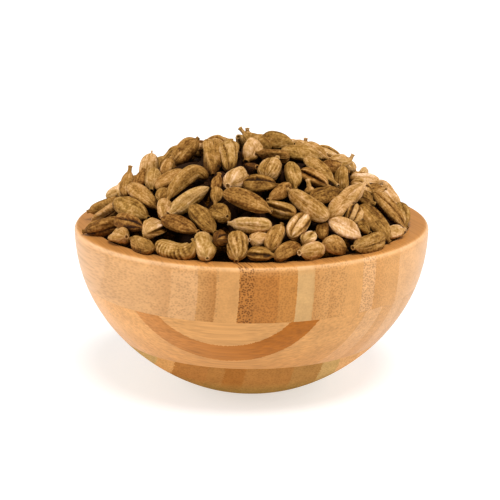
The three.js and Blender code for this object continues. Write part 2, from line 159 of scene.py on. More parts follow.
camera = bpy.data.objects.new("camera", bpy.data.cameras.new("camera"))
bpy.context.scene.collection.objects.link(camera)
bpy.context.scene.camera = camera
camera.data.lens = LENS
camera.data.sensor_width = 36
camera.data.shift_x = -AXIS_RIGHT_OF_MIDDLE
camera.data.clip_end = 50
camera.location = (
    0,
    -VIEW_DISTANCE * MM * math.cos(VIEW_DOWN),
    (VIEW_HEIGHT + VIEW_DISTANCE * math.sin(VIEW_DOWN)) * MM,
)
camera.rotation_euler = (math.radians(90) - VIEW_DOWN, 0, 0)
print("camera at", [round(value, 3) for value in camera.location])

# %% [markdown]
# ## Floor and light
#
# The bowl is shown against plain white, with a soft box on each side, which draws a pale glow
# down both edges of the bowl. The light from above is a broad sun, because a sun lights the whole
# floor alike, so that it stays white to the horizon. Area lights are soft boxes: the larger they
# are, the softer the shadow's edge, and a sun's angle does the same. A pale surrounding fills the
# shadows, and the floor glows a little itself, as a lit table of a photographer does. The Standard
# view keeps the wood's warm colours as they are mixed.
# %% Hang the lights
def hang(light, place, aim):
    """A lamp at a place in metres, turned to its aim."""
    lamp = bpy.data.objects.new(light.name, light)
    bpy.context.scene.collection.objects.link(lamp)
    lamp.location = place
    away = lamp.location - type(lamp.location)(aim)
    lamp.rotation_euler = away.to_track_quat("Z", "Y").to_euler()


def soft_box(name, place, size, power):
    """A square lamp, its size in metres and its power in watts."""
    light = bpy.data.lights.new(name, "AREA")
    light.size = size
    light.energy = power
    hang(light, place, HEART)


def broad_sun(name, place, spread, strength):
    """A sun whose light comes from a wide patch of sky, in degrees across."""
    light = bpy.data.lights.new(name, "SUN")
    light.angle = math.radians(spread)
    light.energy = strength
    hang(light, place, HEART)


HEART = (0, 0, 0.06)        # the middle of the object, in metres
soft_box("box_left", (-0.9, -0.1, 0.45), size=0.6, power=4.6)
soft_box("box_right", (0.9, -0.1, 0.5), size=0.6, power=4.2)
broad_sun("sun_above", (0.12, -0.46, 1.0), spread=26, strength=2.9)

# %% Lay the floor
FLOOR_HALF = 3000
floor_corners = [(x, y, 0) for x, y in ((-1, -1), (1, -1), (1, 1), (-1, 1))]
floor = mesh_piece("floor", np.array(floor_corners) * FLOOR_HALF, [(0, 1, 2, 3)])
floor_paint = bpy.data.materials.new("floor_paint")
floor_paint.use_nodes = True
floor_shader = floor_paint.node_tree.nodes["Principled BSDF"]
floor_shader.inputs["Base Color"].default_value = (0.55, 0.55, 0.55, 1)
floor_shader.inputs["Roughness"].default_value = 0.7
floor_shader.inputs["Emission Color"].default_value = (1, 0.98, 0.95, 1)
floor_shader.inputs["Emission Strength"].default_value = 0.6
floor.data.materials.append(floor_paint)

# %% A white room
world = bpy.data.worlds.new("white_room")
bpy.context.scene.world = world
world.use_nodes = True
world.node_tree.nodes["Background"].inputs["Color"].default_value = (1, 1, 1, 1)
world.node_tree.nodes["Background"].inputs["Strength"].default_value = 0.3
bpy.context.scene.view_settings.view_transform = "Standard"
print("floor, two soft boxes, a broad sun and a white room")

# %% [markdown]
# ## The bowl's form
#
# A bowl from the lathe is one profile turned about an axis. The profile starts at the middle of
# the foot, runs out and up along a full curve, over a flat lip with softly rounded edges, and
# down the inside. The two curves are the same formulas as in the CAD model, so the fine bowl
# lies on the coarse one. A Screw modifier could turn a drawn profile too, but here the rings
# have to stand exactly at the glue lines between the boards, 22 and 44 mm up.
# %% The bowl's curves
BOARD = 22                  # thickness of one board
HEIGHT = 3 * BOARD
RIM = 70                    # radius at the lip
FOOT = 17.5                 # radius of the flat foot
WALL = 8.2                  # width of the lip
BOTTOM = 11                 # thickness of the bottom
OUTER_ROUND = 2.0           # rounding of the lip's outer edge
INNER_ROUND = 1.4           # and of its inner one
INNER_TOP = HEIGHT - INNER_ROUND


def outer_radius(height):
    down = 1 - height / HEIGHT
    return FOOT + (RIM - FOOT) * (1 - down**2.2) ** (1 / 1.38)


def inner_radius(height):
    down = (HEIGHT - height) / (HEIGHT - BOTTOM)
    return (RIM - WALL) * max(0, 1 - down**2.2) ** (1 / 2.2)


def arc(middle_radius, middle_height, rounding, start, end, steps):
    """Points on a quarter round, from a start to an end angle in degrees."""
    turns = np.radians(np.linspace(start, end, steps))
    return [
        (middle_radius + rounding * math.cos(turn), middle_height + rounding * math.sin(turn))
        for turn in turns
    ]


# %% Draw the bowl's profile
outside = list(np.linspace(0, 1, 46) ** 1.5 * (HEIGHT - OUTER_ROUND))
outside = sorted(outside[:-1] + [BOARD, 2 * BOARD])
inside = INNER_TOP - np.linspace(0.03, 0.97, 16) * (HEIGHT - BOTTOM - INNER_ROUND)
profile = [(0, 0), (FOOT / 2, 0)] + [(outer_radius(h), h) for h in outside]
profile += arc(RIM - OUTER_ROUND, HEIGHT - OUTER_ROUND, OUTER_ROUND, 0, 90, 7)
profile += arc(RIM - WALL + INNER_ROUND, INNER_TOP, INNER_ROUND, 90, 180, 6)
profile += [(inner_radius(h), h) for h in inside] + [(0, BOTTOM)]
print(f"profile of {len(profile)} points, {2 * max(r for r, _ in profile):.1f} mm across")


# %% Turn the profile
def turned(profile, sides):
    """Points and faces of a closed profile turned about the upright axis."""
    angles = np.arange(sides) * 2 * math.pi / sides
    rings = profile[1:-1]
    points = [(0, 0, profile[0][1])]
    for radius, height in rings:
        points += [(radius * math.cos(a), radius * math.sin(a), height) for a in angles]
    points.append((0, 0, profile[-1][1]))
    last = len(points) - 1
    faces = []
    for side in range(sides):
        after = (side + 1) % sides
        faces.append((0, 1 + after, 1 + side))
        for row in range(len(rings) - 1):
            low, high = 1 + row * sides, 1 + (row + 1) * sides
            faces.append((low + side, low + after, high + after, high + side))
        top = 1 + (len(rings) - 1) * sides
        faces.append((top + side, top + after, last))
    return points, faces


BOWL_SIDES = 200
bowl = mesh_piece("bamboo_bowl", *turned(profile, BOWL_SIDES))
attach(bowl, "root")
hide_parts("bowl")

# %% [markdown]
# ## Laminated bamboo
#
# Each board is glued from upright strips of bamboo, 5 to 8 mm wide, and each strip has its own
# tone. In the top and bottom boards the strips run from front to back, and in the middle one
# from side to side. So the front of the bowl shows their dotted ends at the top, and long arcs
# where the curve of the bowl cuts through the flat strips of the middle board. An image texture
# would have to be painted for that. A solid texture gets it for nothing: the colour is worked
# out from the place inside the block, and the bowl's surface simply cuts through it.
#
# Bamboo has no rings but bundles of fibres, which show as dots on the ends and as fine dark
# lines along the strips. A Voronoi texture, stretched far along the fibres, gives both at once.
# Three materials use it, so it is a node group, with the place in the board, the strip's own
# colour and the strengths of its dots and its streaks as inputs.
# %% A group with named sockets
def new_group(name, inputs, outputs):
    """A shader node group with named sockets, its input node and its output node."""
    group = bpy.data.node_groups.new(name, "ShaderNodeTree")
    for label, kind, value in inputs:
        socket = group.interface.new_socket(label, in_out="INPUT", socket_type=kind)
        if value is not None:
            socket.default_value = value
    for label, kind in outputs:
        group.interface.new_socket(label, in_out="OUTPUT", socket_type=kind)
    given, result = group.nodes.new("NodeGroupInput"), group.nodes.new("NodeGroupOutput")
    return group, given.outputs, result.inputs


FINISH_OUTPUTS = [
    ("Colour", "NodeSocketColor"), ("Roughness", "NodeSocketFloat"), ("Height", "NodeSocketFloat"),
]


# %% The bamboo group
def build_bamboo_group():
    group, given, result = new_group(
        "bamboo_fibre",
        [
            ("Place", "NodeSocketVector", None),
            ("Strip colour", "NodeSocketColor", None),
            ("Dots", "NodeSocketFloat", 0.3),
            ("Streaks", "NodeSocketFloat", 0.3),
        ],
        FINISH_OUTPUTS,
    )
    # bundles of fibres, 0.8 mm apart and drawn out along the strip
    drawn = drawn_out(group, given["Place"], 1, 0.02, 1)
    inputs = {"Vector": drawn, "Scale": 1.25, "Randomness": 0.85}
    bundles = put(group, "ShaderNodeTexVoronoi", inputs).outputs["Distance"]
    dot = map_range(group, bundles, 0.56, 0.28)
    # finer fibre between them, and slow changes of tone
    fine = noise(group, drawn, 1.1, 4)
    slow = noise(group, drawn, 0.22, 1)
    darker = calc(group, "MULTIPLY", dot, given["Dots"])
    shade = swayed(group, 1, fine, given["Streaks"])
    shade = calc(group, "MULTIPLY_ADD", slow, 0.30, calc(group, "SUBTRACT", shade, 0.15))
    # the dots are brown rather than grey, so they take away red least
    left_by_dots = [calc(group, "MULTIPLY_ADD", darker, -taken, 1) for taken in (0.85, 0.9, 0.9)]
    shades = [calc(group, "MULTIPLY", shade, left) for left in left_by_dots]
    grain = put(group, "ShaderNodeCombineColor", dict(enumerate(shades))).outputs[0]
    colour = blend_colours(group, 1.0, given["Strip colour"], grain, "MULTIPLY")
    group.links.new(colour, result["Colour"])
    group.links.new(calc(group, "MULTIPLY_ADD", darker, 0.25, 0.34), result["Roughness"])
    group.links.new(calc(group, "SUBTRACT", fine, darker), result["Height"])
    return group


bamboo_fibre = build_bamboo_group()
print("group", bamboo_fibre.name, "with", len(bamboo_fibre.nodes), "nodes")

# %% [markdown]
# The strips' edges were read along the front of the bowl, in millimetres from its middle. The
# strips are turned a few degrees against the view, so each edge is first carried to the board's
# own axis, across the strips. A ramp with constant steps then gives each strip its flat tone.
# A second ramp holds how strongly its fibres show, and a third darkens some strips towards one
# side, where the outside of the bamboo cane was. Noise shifts the edges a little, because glue
# lines are never quite straight.
# %% Tones across the strips
WHITE = (1, 1, 1, 1)
HAIR = 0.003                # softness of the strips' edges, as a share of the bowl's width


def across_board(x, radius, turn):
    """Where the plane of a strip's edge lies that meets the bowl's front at x."""
    return x * math.cos(turn) + math.sqrt(radius**2 - x**2) * math.sin(turn)


def burnt(depth):
    """What darker wood leaves of the light: least of the blue."""
    return (1 - 0.7 * depth, 1 - depth, 1 - 1.4 * depth, 1)


def sides_ramp(tree, share, starts, darker_sides):
    """White, and darker in some strips: (strip, darkness at its low edge, at its high edge)."""
    stops = [(0, WHITE)]
    for number, low, high in darker_sides:
        first, last = starts[number] - HAIR, starts[number + 1] - HAIR
        stops += [(first, WHITE), (first + HAIR, burnt(low))]
        stops += [(last, burnt(high)), (last + HAIR, WHITE)]
    return colour_ramp(tree, share, stops)


# %% [markdown]
# The middle board's strips are multiplied lighter towards the left and fade towards one tone there:
# painted light, where the light falls strongest. The lip's flat top is darker and more even, and its
# rounded outer edge is painted paler and even as well, a painted highlight. Towards the foot the wood
# is duller and darker, and the middle board darkens towards its lower edge: painted shade, where the
# wall turns under. Each is a blend or a multiplied tone, steered by the place along the strips or by
# the height. The wood has no hard gloss, only a faint sheen of fibres, which pales it where it turns
# away from the viewer.
# %% Lip tone, painted light and painted shade
LIP_EDGE = 4                # how far below the lip the paler edge begins
# Painted highlight: the lip's rounded outer edge is multiplied paler, as if the light above glossed it.
PAINTED_EDGE_HIGHLIGHT = [
    (0.5, WHITE), (0.66, (1.12, 1.2, 1.45, 1)), (0.86, (1.22, 1.38, 1.85, 1)), (0.96, WHITE),
]


# Painted light: the middle board's strips are multiplied lighter towards the left and blended towards
# one tone there, where the light falls strongest.
@dataclass
class PaintedLightFade:
    left: float             # shade at the strips' left ends
    right: float            # and at their right ends
    tone: tuple             # what all strips come near at the left
    strength: float


# A tone blended in by height: the darker, more even tone of the lip's top, and painted shade on the
# middle and bottom boards.
@dataclass
class ToneAndPaintedShade:
    start: float            # height in millimetres where it begins
    full: float             # and where it is strongest
    tone: tuple
    strength: float


def with_painted_light(tree, strip, along, painted_light):
    shade = map_range(tree, along, -RIM, RIM, painted_light.left, painted_light.right)
    even = map_range(tree, along, -RIM, RIM * 0.2, painted_light.strength, 0)
    strip = blend_colours(tree, even, strip, linear(*painted_light.tone))
    return blend_colours(tree, 1, strip, shade, "MULTIPLY")


def blend_tone_and_shade(tree, strip, height, tone_and_shade):
    amount = map_range(tree, height, tone_and_shade.start, tone_and_shade.full, 0, tone_and_shade.strength)
    return blend_colours(tree, amount, strip, linear(*tone_and_shade.tone))


# %% Make a board's material
def board_material(
    name, turn, edges, tones, dots, streaks, ragged, gloss, sheen, tone_and_shade,
    darker_sides=(), painted_light=None, lip=False,
):
    """Bamboo whose strips are turned by an angle and parted at edges, from low to high.

    The edges are ragged by so many millimetres. Dots and streaks are how strong the fibres are.
    """
    material = bpy.data.materials.new(name)
    material.use_nodes = True
    tree = material.node_tree
    place = put(tree, "ShaderNodeTexCoord").outputs["Object"]
    inputs = {0: place, "Rotation": (0, 0, turn), "Scale": (1 / MM,) * 3}
    board_place = put(tree, "ShaderNodeMapping", inputs).outputs[0]
    across, along, height = put(tree, "ShaderNodeSeparateXYZ", {0: board_place}).outputs[:3]
    across = swayed(tree, across, noise(tree, board_place, 1.1, 2), ragged)
    share = map_range(tree, across, -RIM, RIM)

    starts = [0] + [(edge + RIM) / (2 * RIM) for edge in edges]
    tone_stops = [(start, linear(*tone)) for start, tone in zip(starts, tones)]
    dot_stops = [(start, (dot, dot, dot, 1)) for start, dot in zip(starts, dots)]
    strip = colour_ramp(tree, share, tone_stops, "CONSTANT")
    if darker_sides:
        darkness = sides_ramp(tree, share, starts, darker_sides)
        strip = blend_colours(tree, 1, strip, darkness, "MULTIPLY")
    # painted light on the middle board's left side
    if painted_light:
        strip = with_painted_light(tree, strip, along, painted_light)
    if lip:
        band = map_range(tree, height, HEIGHT - LIP_EDGE, HEIGHT)
        strip = blend_colours(tree, calc(tree, "MULTIPLY", band, 0.75), strip, linear(*HONEY))
    # the lip's own darker tone, and painted shade lower down on the other boards
    strip = blend_tone_and_shade(tree, strip, height, tone_and_shade)
    # painted highlight along the lip's rounded outer edge
    if lip:
        light = colour_ramp(tree, band, PAINTED_EDGE_HIGHLIGHT)
        strip = blend_colours(tree, 1, strip, light, "MULTIPLY")

    fibre = put(tree, "ShaderNodeGroup", {"Streaks": streaks}, node_tree=bamboo_fibre)
    tree.links.new(board_place, fibre.inputs["Place"])
    tree.links.new(strip, fibre.inputs["Strip colour"])
    tree.links.new(colour_ramp(tree, share, dot_stops, "CONSTANT"), fibre.inputs["Dots"])
    inputs = {"Height": fibre.outputs["Height"], "Strength": 0.12, "Distance": 0.0001}
    bump = put(tree, "ShaderNodeBump", inputs)
    shader = tree.nodes["Principled BSDF"]
    tree.links.new(fibre.outputs["Colour"], shader.inputs["Base Color"])
    tree.links.new(fibre.outputs["Roughness"], shader.inputs["Roughness"])
    tree.links.new(bump.outputs[0], shader.inputs["Normal"])
    shader.inputs["Specular IOR Level"].default_value = gloss
    shader.inputs["Sheen Weight"].default_value = sheen
    shader.inputs["Sheen Roughness"].default_value = 0.4
    shader.inputs["Sheen Tint"].default_value = (1, 0.85, 0.7, 1)
    bowl.data.materials.append(material)
    print(f"{name}: {len(tones)} strips")


# %% [markdown]
# The bottom board is the darkest. The middle one shows a light crescent, a dark arc under it and
# a lighter ground. The top one has one strip of dark dotted wood near the middle, a pale
# yellowish one right of it, and light ones towards the sides.
# %% The tones of the wood
DARK, DEEP, RUST, ARC = (166, 110, 56), (156, 100, 46), (163, 111, 57), (167, 98, 28)
BROWN, TAN, HONEY, STRAW = (177, 114, 51), (184, 124, 60), (200, 146, 87), (207, 157, 105)
PALE, YELLOWISH, OLIVE, MOSS = (211, 162, 113), (196, 154, 100), (183, 147, 92), (162, 117, 64)

# %% The bottom board
BOTTOM_FRONT = 50           # radius at which its strips were read
bottom_turn = math.radians(-8)
bottom_edges = [-44, -37, -29.9, -16.9, -10.8, -2.5, 15.4, 26, 33, 41]
bottom_tones = [OLIVE, OLIVE, HONEY, DARK, RUST, DEEP, RUST, MOSS, OLIVE, STRAW, PALE]
board_material(
    "bamboo_bottom", bottom_turn,
    edges=[across_board(x, BOTTOM_FRONT, bottom_turn) for x in bottom_edges],
    tones=bottom_tones, dots=[0.2] * len(bottom_tones), streaks=0.3, ragged=2.5, gloss=0, sheen=0,
    # painted shade: darker and more olive towards the foot, where the wall turns under
    tone_and_shade=ToneAndPaintedShade(start=13, full=5, tone=(158, 125, 66), strength=0.85),
)

# %% The middle board
middle_edges = [
    -62, -54, -46, -39, -31, -24, -16, -9, -1, 7, 14, 22, 29, 36, 43, 49.5, 56.5, 61.5,
]
middle_tones = [HONEY, STRAW, HONEY, HONEY] * 3
middle_tones += [STRAW, HONEY, STRAW, HONEY, HONEY, ARC, HONEY]
board_material(
    "bamboo_middle", math.radians(99.3), middle_edges, middle_tones,
    dots=[0.15] * len(middle_tones), streaks=0.55, ragged=0.6, gloss=0.1, sheen=0.1,
    # painted light: lighter and more even at the left, where the light falls strongest
    painted_light=PaintedLightFade(left=1.12, right=0.98, tone=(211, 153, 92), strength=0.75),
    # painted shade: darker towards the board's lower edge, where the wall faces down
    tone_and_shade=ToneAndPaintedShade(start=34, full=21, tone=(174, 109, 30), strength=0.5),
)

# %% The top board
top_turn = math.radians(-21)
top_edges = [
    -54.7, -46.5, -38.7, -29, -19.7, -12.2, -4.8, 1, 9.7,
    16.6, 22.8, 29, 34.7, 40.8, 46, 51, 55.3, 61,
]
top_tones = [
    PALE, STRAW, STRAW, STRAW, STRAW, HONEY, HONEY, BROWN, BROWN, TAN, YELLOWISH, HONEY,
    HONEY, HONEY, STRAW, HONEY, HONEY, STRAW, STRAW,
]
top_dots = [
    0.15, 0.18, 0.15, 0.2, 0.25, 0.25, 0.08, 0.72, 0.35, 0.25,
    0.05, 0.3, 0.3, 0.12, 0.4, 0.2, 0.15, 0.12, 0.1,
]
board_material(
    "bamboo_top", top_turn,
    edges=[across_board(x, RIM, top_turn) for x in top_edges],
    tones=top_tones, dots=top_dots, streaks=0.3, ragged=0.9, gloss=0.1, sheen=0.04, lip=True,
    darker_sides=[(3, 0, 0.16), (5, 0.02, 0.34), (11, 0.18, 0), (12, 0.14, 0), (15, 0.12, 0)],
    tone_and_shade=ToneAndPaintedShade(start=HEIGHT - 0.6, full=HEIGHT, tone=(184, 119, 50), strength=0.75),
)

# %% Give each part of the bowl its board's material
heights = np.array([polygon.center.z for polygon in bowl.data.polygons]) / MM
bowl.data.polygons.foreach_set("material_index", np.clip(heights // BOARD, 0, 2).astype(int))
bowl.data.update()

# %% [markdown]
# ## The heap
#
# The pods' middles lie on a dome over the lip, 28 mm high. In front each pod was read one by
# one: where it lies in plan, which way its stalk end points as seen from the front, how long
# and wide it is, its form and its tone. The whole heap could be dropped as rigid bodies, but
# then none would lie where the real one does. So the pods are placed, and then pushed apart.
# %% The dome
EDGE = 2                    # height over the lip at the dome's edge
RISE = 28                   # height of the dome over its edge
REACH = 62                  # radius of the dome
FULLNESS = 2.35             # 2 is a parabola, and more has fuller shoulders
BACK_FALL = 1.3             # behind the middle the dome falls off this much sooner
INSIDE = 58.5               # pods further out in front are tucked behind the lip


def dome_height(across, back):
    """The dome's height over the table, for one place or a row of them."""
    radius = np.hypot(across, np.where(np.asarray(back) > 0, BACK_FALL, 1) * back)
    return HEIGHT + EDGE + RISE * (1 - np.minimum(radius / REACH, 1) ** FULLNESS)


def dome_normal(place):
    """The direction straight out of the dome over a place, for one place or a row of them."""
    place = np.asarray(place, float)
    across, back = place[..., 0], place[..., 1]
    fall = np.where(back > 0, BACK_FALL, 1)
    radius = np.hypot(across, fall * back)
    slope = RISE * FULLNESS * np.minimum(radius / REACH, 1) ** (FULLNESS - 1) / REACH
    lean = np.where(radius > 0, slope / np.maximum(radius, 1e-9), 0)
    normal = np.stack([across * lean, back * fall**2 * lean, np.ones_like(lean)], -1)
    return normal / np.linalg.norm(normal, axis=-1, keepdims=True)


def dome_point(across, back, lift):
    """A point lifted off the dome, square to it."""
    foot = np.array([across, back, float(dome_height(across, back))])
    return foot + dome_normal(foot) * lift


print(f"the dome's top is {dome_height(0, 0):.0f} mm over the table")

# %% [markdown]
# Each line of the list is one pod: across, back, slant, length, width, form and tone, from 0 for
# dark to 1 for pale. `away` is how far its stalk end leans from the viewer, `bow` how much it
# curves and `lift` how far it lies on top of its neighbours. The other looks set one pod apart
# from its form, and are explained with the forms further down. A list is the plainest way to
# keep what was read from a photograph, and each line can be corrected by itself.
# %% The pods seen in front
FRONT_PODS = [
    # left
    (-45, -28, -24, 15.5, 7.9, "plump", 0.50, {"lift": 1, "mouth": 1.0}),
    (-40, -27, -42, 15.0, 6.8, "plump", 0.58, {"girth": 0.9, "stretch": 0.88}),
    (-57, -14, -145, 14.0, 6.4, "ridged", 0.58, {"warmth": 1.3, "seam": 0.2}),
    (-57, -25, -145, 15.0, 6.8, "ridged", 0.36, {"seam": 0.28, "girth": 1.1}),
    (-58, 0, -160, 14.0, 6.2, "plump", 0.45, {"away": 0}),
    (-52, 9, 25, 14.0, 6.2, "plump", 0.80, {"away": 0, "girth": 0.72}),
    (-47.5, -3, 84, 12.5, 6.0, "pointed", 0.50, {"away": 25, "lift": 2}),
    (-51, 3, 80, 9.0, 4.2, "shrivelled", 0.72, {"away": 25}),
    (-43.5, -8, 78, 10.0, 5.4, "slim", 0.28, {"away": 40}),
    (-39.5, -1, 86, 13.0, 7.4, "plump", 0.75,
     {"away": 15, "lift": 1, "seam": 0.12, "girth": 1.05, "taper": 0.1, "mouth": 0.4, "stub": 0.01,
      "dents": 2}),
    (-38, -17, -100, 9.0, 6.6, "round", 0.62,
     {"away": -50, "stretch": 0.85, "girth": 1.05, "mouth": 0.9}),
    (-30.5, -22, 28, 14.0, 6.6, "slim", 0.50),
    (-24, -26, -139, 17.5, 6.4, "slim", 0.52, {"bow": -2.2, "lift": 1, "curl": 1.7, "stretch": 1.18}),
    (-23, -38.5, -146, 17.5, 6.6, "slim", 0.70,
     {"bow": -0.8, "lift": 1, "taper": -0.6, "mouth": 2.1, "frill": 0.35, "girth": 1.12, "stub": 0.02}),
    (-32.7, -38, -85, 7.2, 5.8, "round", 0.64, {"away": -50}),
    (-33.5, -29.5, 60, 6.0, 4.8, "round", 0.48, {"away": 40}),
    (-26.5, -46.5, -18, 14.5, 6.2, "plump", 0.28),
    (-36, -43.5, 44, 11.0, 7.4, "split", 0.66,
     {"away": 30, "slit": 0.95, "slit_at": 112, "corner": 0.3, "taper": 0.1}),
    (-28.4, -54.5, -6, 16.5, 6.6, "wrinkled", 0.55,
     {"bow": -2.6, "girth": 1.06, "hook": 1.7, "stretch": 1.14, "rings": 0.16, "taper": 0.05,
      "mouth": 0.5}),
    (-49.5, -37, 30, 8.0, 6.8, "round", 0.62, {"away": -50, "corner": 0.25}),
    (-40, -48, 155, 12.0, 6.4, "plump", 0.50, {"mouth": 0.95}),
    (-45, -34, -20, 12.0, 6.0, "shrivelled", 0.12),
    (-25.5, 3, 48, 14.0, 8.0, "plump", 0.44, {"away": 0, "lift": 1, "taper": 0.1, "frill": 0.2}),
    (-31.5, 9, 45, 14.0, 6.4, "plump", 0.46, {"away": 0, "frill": 0.25}),
    (-32.5, -8, 70, 7.0, 5.2, "round", 0.52, {"away": 50}),
    # middle
    (-15.5, -13, -84, 14.0, 7.4, "plump", 0.54, {"away": -45, "corner": 0.3, "twist": 1.0}),
    (-8.5, -13, 90, 13.0, 6.4, "flared", 0.50, {"away": 45}),
    (0.3, -12, -112, 9.5, 6.8, "round", 0.74,
     {"away": -40, "lift": 1, "girth": 1.05, "corner": 0.2, "mouth": 1.3, "stretch": 0.92}),
    (2, 1, 149, 13.0, 6.0, "stalked", 0.46,
     {"away": 10, "lift": 1.5, "girth": 1.35, "hook": -0.3, "stretch": 1.2}),
    (10.5, 4, -8, 15.0, 7.6, "plump", 0.48, {"away": 0, "lift": 1, "warmth": 0.3}),
    (19, 5, -20, 10.0, 6.2, "plump", 0.76, {"away": 0}),
    (18, -9, -8, 14.0, 6.6, "plump", 0.58, {"lift": 1, "stretch": 1.14, "girth": 1.08}),
    (8, -12, 172, 13.0, 5.8, "ridged", 0.40),
    (7.7, -26, 60, 10.0, 8.8, "ribbed", 0.62,
     {"away": 45, "lift": 1, "rib": 0.2, "ribs": 18, "taper": 0.1, "stub": 0.18, "mouth": 0.9}),
    (15.6, -27.5, -80, 10.0, 6.8, "plump", 0.50, {"away": -40}),
    (-6.2, -34.5, -140, 8.8, 8.2, "round", 0.78,
     {"away": -55, "lift": 1, "dents": 3, "rib": 0.1, "stretch": 0.84, "girth": 1.1, "mouth": 1.0}),
    (3.5, -35.5, -5, 13.5, 6.8, "split", 0.30, {"slit": 0.35, "slit_at": 50, "frill": 0.2}),
    (-12.8, -33, 80, 6.0, 4.4, "round", 0.35, {"away": 30}),
    (-13.3, -39.5, -92, 7.0, 4.8, "pointed", 0.50, {"away": -30, "lift": -1}),
    (-12.2, -47, -30, 8.0, 7.2, "round", 0.38, {"away": -55}),
    (-1.3, -44.3, -22, 20.0, 7.4, "plump", 0.42, {"lift": 1.5}),
    (10.3, -45, 158, 13.0, 5.8, "split", 0.50, {"slit": 0.6, "corner": 0.25}),
    (10, -39, -140, 10.0, 5.4, "slim", 0.38),
    (20.5, -42.5, 140, 19.0, 7.0, "plump", 0.62, {"lift": 1.5, "taper": 0.1, "stub": 0.03}),
    (-0.5, -52.5, 174, 16.0, 6.6, "plump", 0.76, {"lift": 1}),
    (1.6, -57.5, -175, 8.0, 6.2, "pointed", 0.74, {"away": -35, "girth": 1.22, "mouth": 0.6}),
    (-5.3, -59.5, -85, 11.5, 7.8, "ribbed", 0.55,
     {"lift": 1, "rib": 0.24, "ribs": 11, "twist": 1.6, "taper": 0.1}),
    (-16.2, -57.5, -88, 13.0, 7.6, "plump", 0.72,
     {"lift": 1, "girth": 1.06, "taper": 0.05, "lumps": 0.04, "dents": 3, "corner": 0.08,
      "wrinkle": 0.12}),
    (8.8, -56.5, 62, 12.0, 6.6, "plump", 0.50),
    (3.5, -61, 0, 9.8, 5.4, "split", 0.40),
    (13.5, -59, 27, 13.0, 6.2, "plump", 0.38),
    (17, -51, 60, 11.5, 6.8, "shrivelled", 0.60,
     {"folds": 0.7, "corner": 0.2, "dents": 6, "wrinkle": 0.25, "frill": 0.2, "stretch": 1.12}),
    (-18, -48.5, -57, 14.0, 7.0, "ribbed", 0.36, {"rib": 0.15, "taper": 0.4}),
    (-10.8, -56.5, 8, 9.0, 6.0, "ridged", 0.12),
    # right
    (26.5, -20.5, -42, 17.0, 6.6, "pointed", 0.58,
     {"lift": 1, "taper": 0.75, "corner": 0.2, "girth": 0.86}),
    (24, -26, -28, 13.0, 6.2, "split", 0.45, {"slit": 0.9, "frill": 0.2, "slit_at": 80}),
    (22, -31, 100, 6.0, 4.4, "stalked", 0.52, {"away": 20, "lift": -1, "stub": 0.45, "mouth": 0.85}),
    (28, -33.5, 15, 14.0, 6.8, "plump", 0.28),
    (32, -13.5, -10, 11.0, 6.2, "plump", 0.28),
    (35.5, 2, 10, 11.5, 6.8, "stalked", 0.74,
     {"away": 0, "lift": 1, "hook": 0.9, "frill": 0.2, "stub": 0.15, "girth": 0.92}),
    (31, 8, -25, 14.0, 6.4, "shrivelled", 0.50,
     {"away": 0, "frill": 0.45, "folds": 0.6, "wrinkle": 0.2}),
    (25, 5, -25, 12.0, 6.2, "plump", 0.66, {"away": 0}),
    (34.5, -17, 86, 9.0, 6.2, "plump", 0.52, {"away": 45}),
    (45, -3, -8, 13.0, 6.2, "shrivelled", 0.76, {"away": 0}),
    (43, -14.5, -25, 9.5, 5.4, "shrivelled", 0.50),
    (43, -22.5, -28, 8.0, 5.4, "slim", 0.38),
    (34.5, -34, 44, 18.5, 6.4, "slim", 0.70,
     {"lift": 1, "twist": 3, "corner": 0.3, "stretch": 1.12, "waist": 0.12}),
    (37.8, -36, -100, 8.5, 5.8, "shrivelled", 0.42,
     {"away": -30, "folds": 1.0, "frill": 0.3, "wrinkle": 0.2}),
    (41.5, -39, -45, 6.2, 4.8, "round", 0.40, {"away": -35}),
    (34, -45.8, -24, 15.5, 6.2, "plump", 0.84,
     {"lift": 1, "corner": 0.42, "warmth": 1.2, "seam": 0.02, "wrinkle": 0.14, "dents": 7,
      "twist": 1.2}),
    (46.2, -33.8, -51, 18.0, 7.2, "plump", 0.40,
     {"lift": 0.5, "taper": 0.1, "girth": 1.06, "corner": 0.2}),
    (53.2, -16.5, -49, 19.0, 6.6, "ridged", 0.48, {"seam": 0.28, "rib": 0.08}),
    (54.5, 3, -55, 15.0, 6.2, "plump", 0.80, {"away": -20, "warmth": 1.2}),
    (59.5, -8.5, -76, 11.0, 5.6, "ridged", 0.50, {"away": -30, "girth": 0.88, "seam": 0.22}),
    (54, -30.5, 20, 7.6, 5.8, "round", 0.76, {"away": 40, "girth": 0.9}),
    (43, -46, -160, 13.0, 7.4, "ridged", 0.56, {"corner": 0.26, "mouth": 0.9}),
    (30.3, -54, -28, 14.0, 7.0, "plump", 0.52, {"lift": 0.5}),
    (22, -56, -170, 11.0, 6.2, "plump", 0.70, {"lift": -1, "girth": 1.1, "mouth": 0.9}),
    (21, -53.5, 30, 7.0, 5.2, "shrivelled", 0.70),
    (48, -9.5, 20, 7.5, 5.6, "ridged", 0.50, {"away": 40}),
    (27, -48, 75, 9.0, 4.8, "slim", 0.28, {"lift": -1}),
]
print(len(FRONT_PODS), "pods in front")

# %% [markdown]
# While it is placed, a pod is a rod with round ends, which is quick to reckon with. It keeps the
# middles of its two round ends, its radius, and the way in which it is free to shift. A front
# pod may shift only along the line of sight, so it stays where it is seen.
# %% A pod as a rod
LEAST_HALF = 0.4            # half the least distance between a rod's two ends


